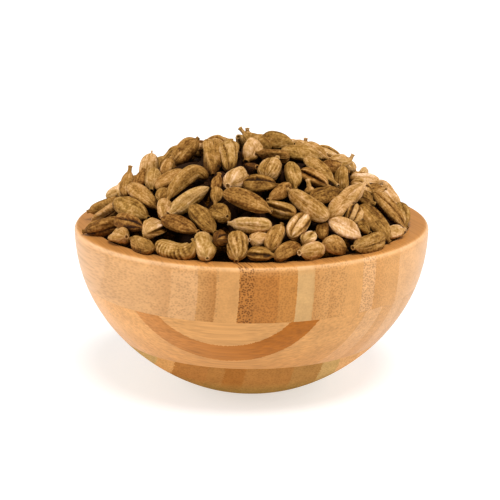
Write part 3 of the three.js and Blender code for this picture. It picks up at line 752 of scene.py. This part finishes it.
@dataclass
class Pod:
    tail: np.ndarray            # middle of the round end at the tail
    stalk: np.ndarray           # and of the one at the stalk
    radius: float
    kind: str                   # the name of its form
    tone: float
    bow: float
    outward: np.ndarray         # the way straight out of the dome
    free: np.ndarray            # the way in which it may shift
    steady: float               # how firmly it keeps the way it points
    leans: float = 0.0          # how freely it leans along its free way
    sunk: float = 0.0           # how deep under the dome it belongs
    looks: dict = field(default_factory=dict)   # what sets it apart from its form
    home: np.ndarray = field(init=False)
    rod: float = field(init=False)

    def __post_init__(self):
        self.home = (self.tail + self.stalk) / 2
        self.rod = float(np.linalg.norm(self.stalk - self.tail))


def pod_at(middle, along, length, width, **rest):
    half = max(LEAST_HALF, (length - width) / 2) * along
    return Pod(middle - half, middle + half, width / 2, **rest)


# %% Lay the front pods
FRONT_VIEW = math.radians(15)
RIGHT = np.array([1.0, 0, 0])   # right, up and away as the front view sees them
UP = np.array([0, math.sin(FRONT_VIEW), math.cos(FRONT_VIEW)])
AWAY = np.array([0, math.cos(FRONT_VIEW), -math.sin(FRONT_VIEW)])
LONGEST = 21                # no pod is longer, however much of it the view hides
LEAST_FACING = 0.35         # keeps pods on the crest from lying straight away from the viewer


def front_pod(across, back, slant, long, wide, kind, tone, more=None):
    """A pod from its line in the list. Its length and slant are the ones that are seen."""
    more = more or {}
    middle = dome_point(across, back, more.get("lift", 0))
    outward = dome_normal(middle)
    turn = math.radians(slant)
    seen = math.cos(turn) * RIGHT + math.sin(turn) * UP
    facing = max(-AWAY @ outward, LEAST_FACING)
    flat = math.atan(seen @ outward / facing)       # the lean that lays it flat on the dome
    lean = math.radians(more["away"]) if "away" in more else flat
    most = math.acos(min(1, long / LONGEST))
    away = min(max(lean, -most), most)
    along = math.cos(away) * seen + math.sin(away) * AWAY
    radius = math.hypot(across, back)
    middle = middle + AWAY * max(0, radius - INSIDE) * max(0, -back / radius)
    looks = {name: value for name, value in more.items() if name not in ("away", "bow", "lift")}
    return pod_at(
        middle, along, long / math.cos(away), wide, kind=kind, tone=tone, looks=looks,
        bow=more.get("bow", 0), outward=outward, free=AWAY, steady=0.12, leans=0.7,
    )


front = [front_pod(*line) for line in FRONT_PODS]

# %% [markdown]
# The sides and the back aren't seen in front, so they are filled evenly. A golden-angle spiral
# spreads places over the dome as a sunflower spreads its seeds, and a repeatable stream of
# numbers gives each pod its heading, size and form. Places near a front pod are passed over.
# %% Repeatable numbers
GOLDEN = math.pi * (3 - math.sqrt(5))
GOLDEN_STEP = 0.618         # spreads the pods' tones and colours just as evenly
FACTOR, CYCLE = 16807, 2147483647


def dice(seed):
    """A repeatable stream of numbers from 0 to 1."""
    state = seed

    def roll():
        nonlocal state
        state = state * FACTOR % CYCLE
        return state / CYCLE

    return roll


# %% Fill the rest of the dome
PLACES = 140
CLEAR = 7.4                 # least distance of a filling pod's middle from a front pod
STANDING_OUT = 107          # a pod behind the right shoulder that is drawn thinner
COMMON_KINDS = ["plump", "plump", "ridged", "slim", "plump", "ribbed", "shrivelled", "split"]


def laid(outward, heading, rise):
    """The way along a pod that lies on the dome with a heading, its stalk end raised."""
    level = np.array([math.cos(heading), math.sin(heading), 0])
    along = level - outward * (level @ outward)
    return math.cos(rise) * along / np.linalg.norm(along) + math.sin(rise) * outward


def distance_to_rod(point, pod):
    """How far a point lies from a pod's middle line."""
    along = pod.stalk - pod.tail
    share = min(max((point - pod.tail) @ along / (along @ along), 0), 1)
    return np.linalg.norm(pod.tail + along * share - point)


def fill_pods(front):
    pods = []
    roll = dice(4711)
    for place in range(PLACES):
        radius = (INSIDE + 1) * ((place + 0.5) / PLACES) ** 0.47
        across, back = radius * math.cos(place * GOLDEN), radius * math.sin(place * GOLDEN)
        heading = 2 * math.pi * roll()
        upright = roll() < 0.18 and radius < 42
        tilt = 0.35 * (roll() - 0.5)
        rise = 0.5 if upright else tilt
        length, width = 12.5 + 6 * roll(), 5.6 + 2.4 * roll()
        kind = COMMON_KINDS[int(len(COMMON_KINDS) * roll())]
        bow = 1.6 * (roll() - 0.5)
        middle = dome_point(across, back, 1.2 * (roll() - 0.5))
        if any(distance_to_rod(middle, pod) < CLEAR for pod in front):
            continue
        outward = dome_normal(middle)
        pods.append(pod_at(
            middle, laid(outward, heading, rise), length, width, kind=kind, bow=bow,
            tone=0.25 + 0.6 * (place * GOLDEN_STEP % 1), outward=outward, free=outward, steady=0.036,
        ))
    return pods


top_pods = front + fill_pods(front)
top_pods[STANDING_OUT].looks["girth"] = 0.6
print(len(top_pods), "pods on the dome")

# %% [markdown]
# Now the pods come to rest. Ninety times over, every two rods that overlap are pushed apart at
# their closest points, sunken ones are lifted onto the dome, and ends are kept off the lip, while
# each pod is drawn a little back to its place. Blender's rigid bodies would take longer and let
# pods roll away. NumPy does all pairs at once, so this takes a second.
# %% How rods meet
SNUG = 0.95                 # pods touch at this share of their radii, because husks give a little


def push(tail_moves, stalk_moves, who, share, shove):
    """Shoves rods at a share of their length, so that the shoved spot moves by the shove."""
    spread = (1 - share) ** 2 + share**2
    np.add.at(tail_moves, who, shove * ((1 - share) / spread)[:, None])
    np.add.at(stalk_moves, who, shove * (share / spread)[:, None])


def closest_places(d1, d2, gap):
    """The shares along two rods at which they come closest."""
    a, e = (d1 * d1).sum(1), (d2 * d2).sum(1)
    b, c, f = (d1 * d2).sum(1), (d1 * gap).sum(1), (d2 * gap).sum(1)
    s = np.clip((b * f - c * e) / np.maximum(a * e - b * b, 1e-9), 0, 1)
    free = (b * s + f) / e
    t = np.clip(free, 0, 1)
    return np.where(t != free, np.clip((b * t - c) / a, 0, 1), s), t


# %% How rods keep off the bowl
def off_the_bowl(end, radius):
    """How far round ends have to move to clear the lip and the wall."""
    out = np.hypot(end[:, 0], end[:, 1])
    over, inside = end[:, 2] - HEIGHT, RIM - WALL - out
    off = np.hypot(np.maximum(over, 0), np.maximum(inside, 0))
    short = np.where(out < 1, 0, np.maximum(SNUG * radius - off, 0))
    safe = np.maximum(off, 1e-9)
    rise = np.where(off > 0, np.maximum(over, 0) / safe, 1)
    inward = np.where(off > 0, np.maximum(inside, 0) / safe, 0)
    flat = -(short * inward / np.maximum(out, 1e-9))[:, None] * end[:, :2]
    return np.column_stack([flat, short * rise])


# %% Let the pods come to rest
STEPS = 90
PULL = 0.15                 # millimetres a step by which pods sink at first
HOMEWARD = 0.1              # share of the way home that a pod goes back at each step
SHARE = 0.4                 # share of each shove that is followed, so that all calm down


def of_all(pods, *names):
    """One array for each named value of the pods."""
    return (np.array([getattr(pod, name) for pod in pods]) for name in names)


def settle(pods, steps, held=0):
    """Lets pods come to rest. The first ones, as many as are held, stay where they are."""
    tail, stalk, home, outward, free = of_all(pods, "tail", "stalk", "home", "outward", "free")
    radius, rod, sunk, steady, leans = of_all(pods, "radius", "rod", "sunk", "steady", "leans")
    half_home = (stalk - tail) / 2
    one, other = np.triu_indices(len(pods), 1)
    one, other = one[other >= held], other[other >= held]
    everyone = np.arange(len(pods))
    for step in range(steps):
        tail_moves, stalk_moves = np.zeros_like(tail), np.zeros_like(stalk)
        # overlapping pairs push each other apart
        d1, d2, gap = stalk[one] - tail[one], stalk[other] - tail[other], tail[one] - tail[other]
        s, t = closest_places(d1, d2, gap)
        between = gap + d1 * s[:, None] - d2 * t[:, None]
        distance = np.linalg.norm(between, axis=1)
        reach = SNUG * (radius[one] + radius[other])
        hit = (distance < reach) & (distance > 1e-6)
        shove = (between[hit] / distance[hit, None]) * ((reach - distance)[hit, None] / 2)
        push(tail_moves, stalk_moves, one[hit], s[hit], shove)
        push(tail_moves, stalk_moves, other[hit], t[hit], -shove)
        # the dome and the bowl push back
        middle = (tail + stalk) / 2
        normal = dome_normal(middle)
        low = (dome_height(middle[:, 0], middle[:, 1]) - middle[:, 2]) * normal[:, 2] - sunk
        lift = normal * np.maximum(low, 0)[:, None]
        push(tail_moves, stalk_moves, everyone, np.full(len(pods), 0.5), lift)
        tail_moves += off_the_bowl(tail, radius)
        stalk_moves += off_the_bowl(stalk, radius)
        # each pod goes a little homeward, except along its free way, sinks and turns back
        drift = home - middle
        drift = (drift - free * (drift * free).sum(1)[:, None]) * HOMEWARD
        drift = drift - outward * (PULL * (1 - step / steps))
        back = half_home - (stalk - tail) / 2
        back = (back - free * (leans * (back * free).sum(1))[:, None]) * steady[:, None]
        for moves in (drift, back, tail_moves, stalk_moves):
            moves[:held] = 0
        tail = tail + tail_moves * SHARE + drift - back
        stalk = stalk + stalk_moves * SHARE + drift + back
        # and its rod keeps its length
        middle, half = (tail + stalk) / 2, stalk - tail
        half *= (rod / 2 / np.linalg.norm(half, axis=1))[:, None]
        tail, stalk = middle - half, middle + half
    for pod, pod_tail, pod_stalk in zip(pods, tail, stalk):
        pod.tail, pod.stalk = pod_tail, pod_stalk
    return np.linalg.norm((tail + stalk) / 2 - home, axis=1)


shifts = settle(top_pods, STEPS)
print(f"the pods shifted {shifts.mean():.2f} mm on average, {shifts.max():.1f} mm at most")

# %% [markdown]
# Between the pods on top one looks down on others, and on darkness below them. A second layer,
# one pod's width deeper, is filled in the same way while the top pods are held still. A ring of
# small pods along the wall closes the gap behind the lip.
# %% Lay the pods underneath
UNDER_PLACES = 130
UNDER_DEPTH = 6.2           # how deep their middles lie under the dome
UNDER_STEPS = 60
RING_PLACES = 42
RING_RADIUS = 56.8


def under_pods():
    """A spiral of pods under the dome, and then a ring of small ones along the wall."""
    pods = []
    roll = dice(815)
    for place in range(UNDER_PLACES + RING_PLACES):
        ring = place >= UNDER_PLACES
        if ring:
            radius, turn = RING_RADIUS, 2 * math.pi * (place + 0.5 * roll()) / RING_PLACES
        else:
            radius, turn = (INSIDE - 3) * math.sqrt((place + 0.5) / UNDER_PLACES), place * GOLDEN + 1
        across, back = radius * math.cos(turn), radius * math.sin(turn)
        middle = dome_point(across, back, -UNDER_DEPTH)
        if ring:
            middle = np.array([across, back, HEIGHT + 0.5])
        outward = dome_normal(middle)
        heading, rise = 2 * math.pi * roll(), 0.9 * (roll() - 0.5)
        if ring:
            heading, rise = turn + math.pi / 2 + 0.25 * (heading - math.pi), 0.3 * rise
            length, width = 10 + 3 * roll(), 5 + roll()
        else:
            length, width = 12 + 5 * roll(), 5.6 + 1.8 * roll()
        # Painted shade: pods underneath get only dark tones, from 0 to 0.3.
        pods.append(pod_at(
            middle, laid(outward, heading, rise), length, width, kind="under", tone=0.3 * roll(),
            bow=1.2 * (roll() - 0.5), outward=outward, free=outward, steady=0.02,
            sunk=30 if ring else UNDER_DEPTH + 1.5,
        ))
    return pods


below = under_pods()
settle(top_pods + below, UNDER_STEPS, held=len(top_pods))
print(len(below), "pods underneath")

# %% [markdown]
# ## One pod
#
# A cardamom pod is a dry three-sided capsule with blunt ends. It has three seams, ribs and papery
# wrinkles from end to end, and at one end the open stub of its stalk. Some pods dried crumpled,
# one is wrinkled across like a caterpillar, and a few have split. Sculpting 135 pods by hand is
# out of the question, so a pod is a grid: rows from tail to stalk, each a ring of points round
# the middle. Each form sets how strongly the formulas below act, and a pod of the list can have
# looks of its own on top of its form.
# %% The forms of pods
@dataclass
class Form:
    corner: float               # how three-cornered the section is
    taper: float                # how much narrower the stalk end is, or below 0 the tail
    stub: float                 # share of the length that is stalk
    lumps: float                # unevenness, as a share of the radius
    seam: float = 0.03          # depth of the three seams
    ribs: int = 15
    rib: float = 0.03           # height of the ribs
    wrinkle: float = 0.07       # height of papery wrinkles along the pod
    dents: int = 4
    dent: float = 0.13          # depth of the dents
    frill: float = 0.07         # ragged skin at both ends
    folds: float = 0.0          # depth of crumpled folds
    rings: float = 0.0          # height of wrinkles across
    slit: float = 0.0           # depth of an open split
    slit_at: float = 90         # where the split is, in degrees round the pod: 90 faces us
    wing: float = 0.0           # how far the skin flares into a flat papery wing
    waist: float = 0.0          # how much narrower the middle is
    hook: float = 0.0           # how far the stalk end bends aside, in radians
    curl: float = 0.0           # how far the tail end curls aside, in radians
    twist: float = 0.4          # how far the corners wind round, in radians
    girth: float = 1.0          # how much thicker than its rod it is drawn
    stretch: float = 1.0        # how much longer
    mouth: float = 0.85         # radius of the stub in mm
    warmth: float = -1.0        # from olive at 0 to reddish at 1, or below 0 by its number
    rows: int = 38
    around: int = 46


FORMS = {
    "plump": Form(0.12, 0.28, 0.05, 0.075),
    "ridged": Form(0.20, 0.38, 0.06, 0.080, seam=0.14, rib=0.05),
    "slim": Form(0.11, 0.25, 0.05, 0.070),
    "round": Form(0.10, 0.20, 0.05, 0.080),
    "ribbed": Form(0.08, 0.25, 0.05, 0.060, ribs=12, rib=0.10),
    "split": Form(0.16, 0.25, 0.05, 0.080, slit=0.6),
    "wrinkled": Form(0.05, 0.20, 0.03, 0.070, rings=0.12, rib=0.04, rows=96, around=52),
    "shrivelled": Form(0.18, 0.38, 0.06, 0.110, folds=0.35, wrinkle=0.12, dents=6, frill=0.15),
    "pointed": Form(0.10, 0.70, 0.14, 0.060),
    "stalked": Form(0.11, 0.45, 0.20, 0.060),
    "flared": Form(0.12, 0.10, 0.03, 0.090, folds=0.30, wing=0.9, frill=0.3),
    "under": Form(0.14, 0.30, 0.05, 0.080, rib=0, wrinkle=0.05, rows=18, around=20),
}

# %% [markdown]
# The side view comes first: a full body with blunt ends, a little narrower towards the stalk, and
# then the stub, a short tube whose hollow end opens like a tiny cup. Rows crowd together at the
# ends, where the outline turns quickest.
# %% The side view of a pod
# out along the stub, over its flared pale edge and down into its hollow, in shares of its length
# and radius, and how much the tone falls there: painted shade in the hollow, and paler below 0
STUB = [
    (0.3, 0.95, 0), (0.7, 0.9, 0), (1.0, 1.15, -0.5), (1.02, 0.8, -0.3), (0.9, 0.55, 1), (0.6, 0, 1.2),
]
LEAST_STUB = 1.1            # length in mm


def side_view(pod, form, chance):
    """Rows as (share of the body, distance along, radius, hollow), from tail to stalk."""
    length = (pod.rod + 2 * pod.radius) * form.stretch
    body = length * (1 - form.stub)
    even = np.linspace(0, 1, form.rows)
    share = 0.35 * even + 0.65 * (1 - np.cos(math.pi * even)) / 2
    blunt = 2.7 + 0.9 * chance.random()
    swell = np.maximum(1 - np.abs(2 * share - 1) ** blunt, 0) ** 0.5
    taper = form.taper * (0.55 + 0.7 * chance.random())
    narrow = 1 - abs(taper) * (share if taper > 0 else 1 - share) ** 3
    waist = 1 - form.waist * np.exp(-(((share - 0.5) / 0.16) ** 2))
    radius = pod.radius * form.girth * swell * narrow * waist
    stub_radius = form.mouth * (0.85 + 0.25 * chance.random())
    near_end = np.clip((share - 0.88) / 0.1, 0, 1)
    radius = (radius**4 + (stub_radius * near_end) ** 4) ** 0.25
    radius[0] = 0
    stub_along, stub_wide, stub_hollow = np.array(STUB).T
    along = np.concatenate([body * share, body + max(length - body, LEAST_STUB) * stub_along])
    radius = np.concatenate([radius, stub_radius * stub_wide])
    hollow = np.concatenate([np.zeros(form.rows), stub_hollow])
    share = np.concatenate([share, np.ones(len(STUB))])
    return share, along, radius, hollow


# %% [markdown]
# Then the sections. Each effect is a wave or a notch round the pod, faded out towards the ends:
# corners are three waves, seams three narrow notches, ribs and wrinkles many small waves, folds
# sharp-edged waves that wander, dents soft hollows, and a split is one deep notch. A few sine
# waves in random directions make the lumps. How far the skin stands in or out of the smooth form
# is noted as `relief`, and the material paints shade into the grooves and the stub's hollow and a
# highlight onto the ridges: painted shade and painted highlight. A pod in front is turned so that
# its bends lie in the picture, as they were read from it.
# %% Lumps and notches
def lumps(places, count, size, chance):
    """Smooth unevenness over places, from -1 to 1."""
    total = np.zeros(places.shape[:-1])
    for _ in range(count):
        way = chance.normal(size=3)
        way *= size * (0.6 + 0.8 * chance.random()) / np.linalg.norm(way)
        total += np.sin(places @ way + 2 * math.pi * chance.random())
    return total / count


def notch(angle, middle, width):
    """A smooth notch in a ring at an angle, 1 at its bottom."""
    off = (angle - middle + math.pi) % (2 * math.pi) - math.pi
    return np.exp(-((off / width) ** 2))


# %% The large forms of a pod
def large_forms(form, angle, share, ring, turn, chance):
    """How far a pod bulges out of a round one, and the angle round it as its corners wind."""
    middle = np.sin(math.pi * share) ** 0.5 * (share < 1)
    wound = angle - turn - form.twist * (2 * chance.random() - 1) * (share - 0.5)
    large = form.corner * (np.cos(3 * wound) + 0.3 * np.cos(6 * wound)) * middle
    large = large + form.lumps * lumps(ring * (1, 1, 0.7), 4, 1.6, chance) * 1.5
    for _ in range(form.dents):
        place, height = 2 * math.pi * chance.random(), 0.1 + 0.8 * chance.random()
        dent = notch(wound, place, 0.25 + 0.35 * chance.random())
        large = large - form.dent * dent * np.exp(-(((share - height) / 0.14) ** 2))
    return large, wound


# %% The skin of a pod
def skin_relief(form, angle, wound, share, ring, chance):
    """How far the skin stands in or out of the large forms, as a share of the radius."""
    middle = np.sin(math.pi * share) ** 0.5 * (share < 1)
    off_middle = np.abs(2 * share - 1)
    ends = 0.6 + 0.8 * off_middle**2
    swirl = wound + 0.4 * lumps(ring, 2, 0.8, chance)
    seams = sum(notch(swirl, math.pi / 3 + k * 2 * math.pi / 3, 0.13) for k in range(3))
    ribs = np.abs(np.cos(form.ribs / 2 * swirl)) - 0.6
    ribs = ribs * (0.7 + 0.8 * lumps(ring, 3, 1.5, chance))
    wrinkles = 0.5 - np.abs(lumps(ring * (1, 1, 0.2), 3, 4.5, chance)) * 2
    frills = np.abs(np.sin(6.5 * swirl + 2 * lumps(ring, 2, 2.0, chance))) - 0.5
    frills = frills * off_middle**4
    folds = 1 - np.abs(np.sin(2.5 * swirl + 1.2 * share + 6 * chance.random()))
    folds = folds**2 * (0.6 + 0.8 * lumps(ring, 3, 2.0, chance) ** 2)
    rings = np.sin(2 * math.pi * 12.5 * share + 4.5 * lumps(ring, 3, 1.5, chance))
    rings = np.sign(rings) * np.abs(rings) ** 0.8 * (0.6 - 0.4 * np.cos(angle))
    rings = rings * (0.7 + 0.8 * lumps(ring, 3, 2, chance))
    opening, bulge = math.radians(form.slit_at), np.sin(math.pi * share)
    slit = notch(angle, opening, 0.2) * np.clip(1.2 * bulge, 0, 1) ** 0.7
    lips = notch(angle, opening, 0.5) * bulge
    return (
        form.rib * ribs * ends + form.wrinkle * wrinkles * ends - form.seam * seams
        + form.frill * frills - form.folds * (folds - 0.25) + form.rings * rings
        + 0.25 * form.slit * lips
    ) * middle - form.slit * slit


# %% Bend and place a pod
SKIN_SEED = 9000
FULL_GROOVE = 0.13          # a groove this deep, as a share of the radius, has a relief of -1
DEEPEST = 1.1               # the relief falls this far at most, or a little further in a stub


def first_corner(number):
    """The way a pod is rolled about its own length, as in the CAD model."""
    roll = dice(1000 + 37 * number)
    return math.pi / 3 * math.floor(2 * roll()) + 0.4 * (roll() - 0.5)


def spine(pod, form, share, along_it):
    """How far along and aside each row's middle lies, seen from the pod's own, and its heading."""
    late = np.clip((share - 0.72) / 0.28, 0, 1) ** 1.5
    early = np.clip((0.38 - share) / 0.38, 0, 1)
    heading = 4 * pod.bow / along_it.max() * (1 - 2 * share) + form.hook * late - form.curl * early
    step = np.diff(along_it, prepend=0)
    forward, aside = np.cumsum(np.cos(heading) * step), np.cumsum(np.sin(heading) * step)
    half = np.searchsorted(share, 0.5)
    forward = forward - forward[half] + along_it[half]
    return forward, aside - aside[half] + 0.4 * pod.bow, heading


def pod_skin(pod, number):
    """Points of one pod in millimetres, with its grain places and relief, and its warmth."""
    form = replace(FORMS[pod.kind], **pod.looks)
    chance = np.random.default_rng(SKIN_SEED + number)
    rows = side_view(pod, form, chance)
    forward, aside, heading = (row[:, None] for row in spine(pod, form, *rows[:2]))
    share, along_it, radius, hollow = (row[:, None] for row in rows)
    angle = np.arange(form.around) * 2 * math.pi / form.around + 0 * share
    share, along_it = share + 0 * angle, along_it + 0 * angle
    ring = np.stack([np.cos(angle), np.sin(angle), along_it / pod.radius], -1)
    large, wound = large_forms(form, angle, share, ring, first_corner(number), chance)
    fine = skin_relief(form, angle, wound, share, ring, chance)
    body = share < 1
    reach = radius * (1 + (large + fine) * body)
    # Painted shade and painted highlight: the relief darkens the grooves and the stub's hollow and
    # makes the ridges paler in the material.
    relief = np.clip(fine / FULL_GROOVE, -DEEPEST, 1) * body - hollow * DEEPEST

    flat = form.wing * np.clip((share - 0.55) / 0.45, 0, 1)
    wide = reach * np.cos(angle) * (1 + 0.9 * flat)
    high = reach * np.sin(angle) * (1 - 0.85 * flat)
    axis = (pod.stalk - pod.tail) / pod.rod
    facing = -AWAY if number < len(FRONT_PODS) else pod.outward
    sideways = np.cross(facing, axis)
    sideways /= np.linalg.norm(sideways)
    outwards = np.cross(axis, sideways)
    points = (
        pod.tail - axis * pod.radius + (forward - wide * np.sin(heading))[..., None] * axis
        + (aside + wide * np.cos(heading))[..., None] * sideways + high[..., None] * outwards
    )
    around, up = pod.radius * np.cos(angle), pod.radius * np.sin(angle)
    grain = np.stack([around, up, along_it], -1) + chance.random(3) * 500
    warmth = form.warmth if form.warmth >= 0 else 0.25 + 0.75 * (number * GOLDEN_STEP % 1)
    return points, grain, relief, warmth


# %% [markdown]
# All pods of one form become one mesh, because a hundred separate objects would be slow to
# handle and to export. What the material has to know of each point is stored on the mesh as
# attributes, which stay true however the pod is turned. The tone is lowered where a pod sinks
# into the gaps between its neighbours: painted shade, where the neighbours keep the light off.
# %% A tube of rings
def grid_faces(rows, around, start):
    """Faces of a tube of rings whose first and last rings have shrunk to points."""
    ring = np.arange(around)
    after = (ring + 1) % around
    last = start + (rows - 2) * around + 1
    faces = [(start, start + 1 + b, start + 1 + a) for a, b in zip(ring, after)]
    for row in range(rows - 3):
        low, high = start + 1 + row * around, start + 1 + (row + 1) * around
        faces += list(zip(low + ring, low + after, high + after, high + ring))
    top = start + 1 + (rows - 3) * around
    faces += [(top + a, top + b, last) for a, b in zip(ring, after)]
    return [tuple(map(int, face)) for face in faces]


def closed_rows(values):
    """A grid's values with its first and last ring as one point each."""
    return np.concatenate([values[:1, 0], values[1:-1].reshape(-1, *values.shape[2:]), values[-1:, 0]])


# %% Build the pods, one piece for each form
DARKEST, LIGHTEST = 0.11, 0.85      # the tones of the darkest and the palest pod
GAP_SHADE = 0.4                     # how much the tone falls in the gaps


def sunk_in(points):
    """How far points lie in the gaps: 0 from 0.4 mm over the dome, and 1 from 3 mm under it."""
    down = (dome_height(points[:, 0], points[:, 1]) - points[:, 2]) * dome_normal(points)[:, 2]
    return np.clip((down + 0.4) / 3.4, 0, 1)


def pods_piece(name, pods, numbers):
    """All pods of one form as one piece. A pod's number, its place in the list, seeds its skin."""
    points, faces = [], []
    looks = {"grain": [], "relief": [], "tone": [], "warmth": []}
    count = 0
    for pod, number in zip(pods, numbers):
        skin, grain, relief, warmth = pod_skin(pod, number)
        rows = closed_rows(skin)
        faces += grid_faces(skin.shape[0], skin.shape[1], count)
        count += len(rows)
        points.append(rows)
        looks["grain"].append(closed_rows(grain))
        looks["relief"].append(closed_rows(relief))
        tone = DARKEST + (LIGHTEST - DARKEST) * pod.tone
        # painted shade: the tone falls where the pod sinks into the gaps
        looks["tone"].append(tone - GAP_SHADE * sunk_in(rows))
        looks["warmth"].append(np.full(len(rows), warmth))
    piece = mesh_piece(name, np.concatenate(points), faces)
    for look, values in looks.items():
        values = np.concatenate(values)
        kind, key = ("FLOAT_VECTOR", "vector") if look == "grain" else ("FLOAT", "value")
        attribute = piece.data.attributes.new(look, kind, "POINT")
        attribute.data.foreach_set(key, values.astype(np.float32).ravel())
    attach(piece, "root")
    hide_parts("cardamom_pods")
    return piece


pod_pieces = []
for kind in FORMS:
    chosen = [(pod, number) for number, pod in enumerate(top_pods + below) if pod.kind == kind]
    name = "pods_underneath" if kind == "under" else f"pods_{kind}"
    pod_pieces.append(pods_piece(name, *zip(*chosen)))

# %% [markdown]
# ## Roasted husk
#
# A roasted pod is dull brown, from pale tan to nearly black, with fine fibres along it, darker
# patches where it lay hotter and specks. Its ridges are painted paler, a painted highlight, and its
# grooves darker, painted shade. One group holds that finish, for all the pods and for the depths
# below them. The tone of each pod comes from its attribute, which also carries painted shade in the
# gaps, and noise shifts it along two ramps, one olive and one warm, between which each pod has its
# own place, so that all the colours belong together.
# %% The tones of the husk
OLIVE_HUSK = [(38, 20, 3), (93, 59, 13), (150, 111, 48), (193, 152, 92), (226, 190, 148)]
WARM_HUSK = [(44, 20, 3), (103, 61, 15), (161, 114, 54), (203, 157, 105), (236, 200, 166)]


def even_ramp(tree, share, tones):
    """A ramp whose colours are evenly spaced."""
    places = np.linspace(0, 1, len(tones))
    return colour_ramp(tree, share, [(at, linear(*tone)) for at, tone in zip(places, tones)])


# %% The husk group
def build_husk_group():
    group, given, result = new_group(
        "roasted_husk",
        [
            ("Grain", "NodeSocketVector", None),
            ("Tone", "NodeSocketFloat", 0.5),
            ("Relief", "NodeSocketFloat", 0.0),
            ("Warmth", "NodeSocketFloat", 0.5),
        ],
        FINISH_OUTPUTS,
    )
    fibre = noise(group, drawn_out(group, given["Grain"], 1, 1, 0.12), 1.7, 3)
    patch = noise(group, given["Grain"], 0.32, 2)
    speck = noise(group, given["Grain"], 1.2, 3)

    tone = swayed(group, given["Tone"], fibre, 0.55)
    tone = swayed(group, tone, patch, 0.5)
    tone = swayed(group, tone, speck, 0.65)
    # painted shade in the grooves and a painted highlight on the ridges, from the relief
    tone = calc(group, "MULTIPLY_ADD", given["Relief"], 0.28, tone)
    warmth = swayed(group, given["Warmth"], patch, 1.2)
    warmth = put(group, "ShaderNodeClamp", {0: warmth}).outputs[0]
    olive, warm = even_ramp(group, tone, OLIVE_HUSK), even_ramp(group, tone, WARM_HUSK)
    colour = blend_colours(group, warmth, olive, warm)
    group.links.new(colour, result["Colour"])
    group.links.new(calc(group, "MULTIPLY_ADD", fibre, 0.2, 0.6), result["Roughness"])
    group.links.new(calc(group, "MULTIPLY_ADD", speck, 0.5, fibre), result["Height"])
    return group


roasted_husk = build_husk_group()
print("group", roasted_husk.name, "with", len(roasted_husk.nodes), "nodes")


# %% The husk materials
def husk_material(name, bump_depth):
    """Husk that reads each pod's own attributes. bump_depth is in metres."""
    material = bpy.data.materials.new(name)
    material.use_nodes = True
    tree = material.node_tree
    husk = put(tree, "ShaderNodeGroup", node_tree=roasted_husk)
    for look in ("Grain", "Tone", "Relief", "Warmth"):
        source = put(tree, "ShaderNodeAttribute", attribute_name=look.lower())
        output = "Vector" if look == "Grain" else "Fac"
        tree.links.new(source.outputs[output], husk.inputs[look])
    inputs = {"Height": husk.outputs["Height"], "Strength": 0.7, "Distance": bump_depth}
    bump = put(tree, "ShaderNodeBump", inputs)
    shader = tree.nodes["Principled BSDF"]
    tree.links.new(husk.outputs["Colour"], shader.inputs["Base Color"])
    tree.links.new(husk.outputs["Roughness"], shader.inputs["Roughness"])
    tree.links.new(bump.outputs[0], shader.inputs["Normal"])
    shader.inputs["Specular IOR Level"].default_value = 0.1
    return material


FIBROUS = ("pods_ridged", "pods_ribbed", "pods_shrivelled", "pods_flared")
smooth_husk = husk_material("husk_smooth", 0.0005)
fibrous_husk = husk_material("husk_fibrous", 0.0008)
for piece in pod_pieces:
    piece.data.materials.append(fibrous_husk if piece.name in FIBROUS else smooth_husk)
print("fibrous husk on", ", ".join(FIBROUS))

# %% [markdown]
# Under both layers lies the rest of the heap, which no one sees but as darkness in the gaps. It
# is a lumpy dark body that closes the view down to the wood. A plain lathe form, made uneven by
# noise, is enough, because nothing but its darkness shows.
# %% The dark depths of the heap
CORE_DEPTH = 10             # how deep under the dome its top lies
CORE_GAP = 1.2              # between it and the bowl's wall
CORE_SIDES = 96
core_heights = HEIGHT - np.linspace(0.96, 0.12, 12) * (HEIGHT - BOTTOM)
core_profile = [(0, BOTTOM + 1)] + [(inner_radius(h) - CORE_GAP, h + 1) for h in core_heights]
core_profile += [(r, HEIGHT) for r in REACH * np.linspace(0.93, 0.03, 22)] + [(0, HEIGHT)]
core_points, core_faces = turned(core_profile, CORE_SIDES)
core_points = np.array(core_points)
top = core_points[:, 2] == HEIGHT
core_points[top, 2] = dome_height(core_points[top, 0], core_points[top, 1]) - CORE_DEPTH
unevenness = lumps(core_points, 8, 0.45, np.random.default_rng(31)) * 1.6 - 0.6
core_points[:, 2] += np.where(core_points[:, 2] > HEIGHT - 12, unevenness, 0)
core = mesh_piece("heap_depths", core_points, core_faces)
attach(core, "root")
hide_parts("cardamom_pods")

# %% Husk in the dark
shadow_husk = bpy.data.materials.new("husk_depths")
shadow_husk.use_nodes = True
shadow_tree = shadow_husk.node_tree
shadow_place = put(shadow_tree, "ShaderNodeTexCoord").outputs["Object"]
inputs = {0: shadow_place, "Scale": (1 / MM,) * 3}
shadow_place = put(shadow_tree, "ShaderNodeMapping", inputs).outputs[0]
shadow_group = put(shadow_tree, "ShaderNodeGroup", node_tree=roasted_husk)
shadow_tree.links.new(shadow_place, shadow_group.inputs["Grain"])
# Painted shade: the depths get nearly the darkest tone of husk, for pods deep in shade.
shadow_group.inputs["Tone"].default_value = 0.05
shadow_shader = shadow_tree.nodes["Principled BSDF"]
shadow_tree.links.new(shadow_group.outputs["Colour"], shadow_shader.inputs["Base Color"])
shadow_shader.inputs["Roughness"].default_value = 0.9
shadow_shader.inputs["Specular IOR Level"].default_value = 0
core.data.materials.append(shadow_husk)
print("the depths are of", shadow_husk.name)
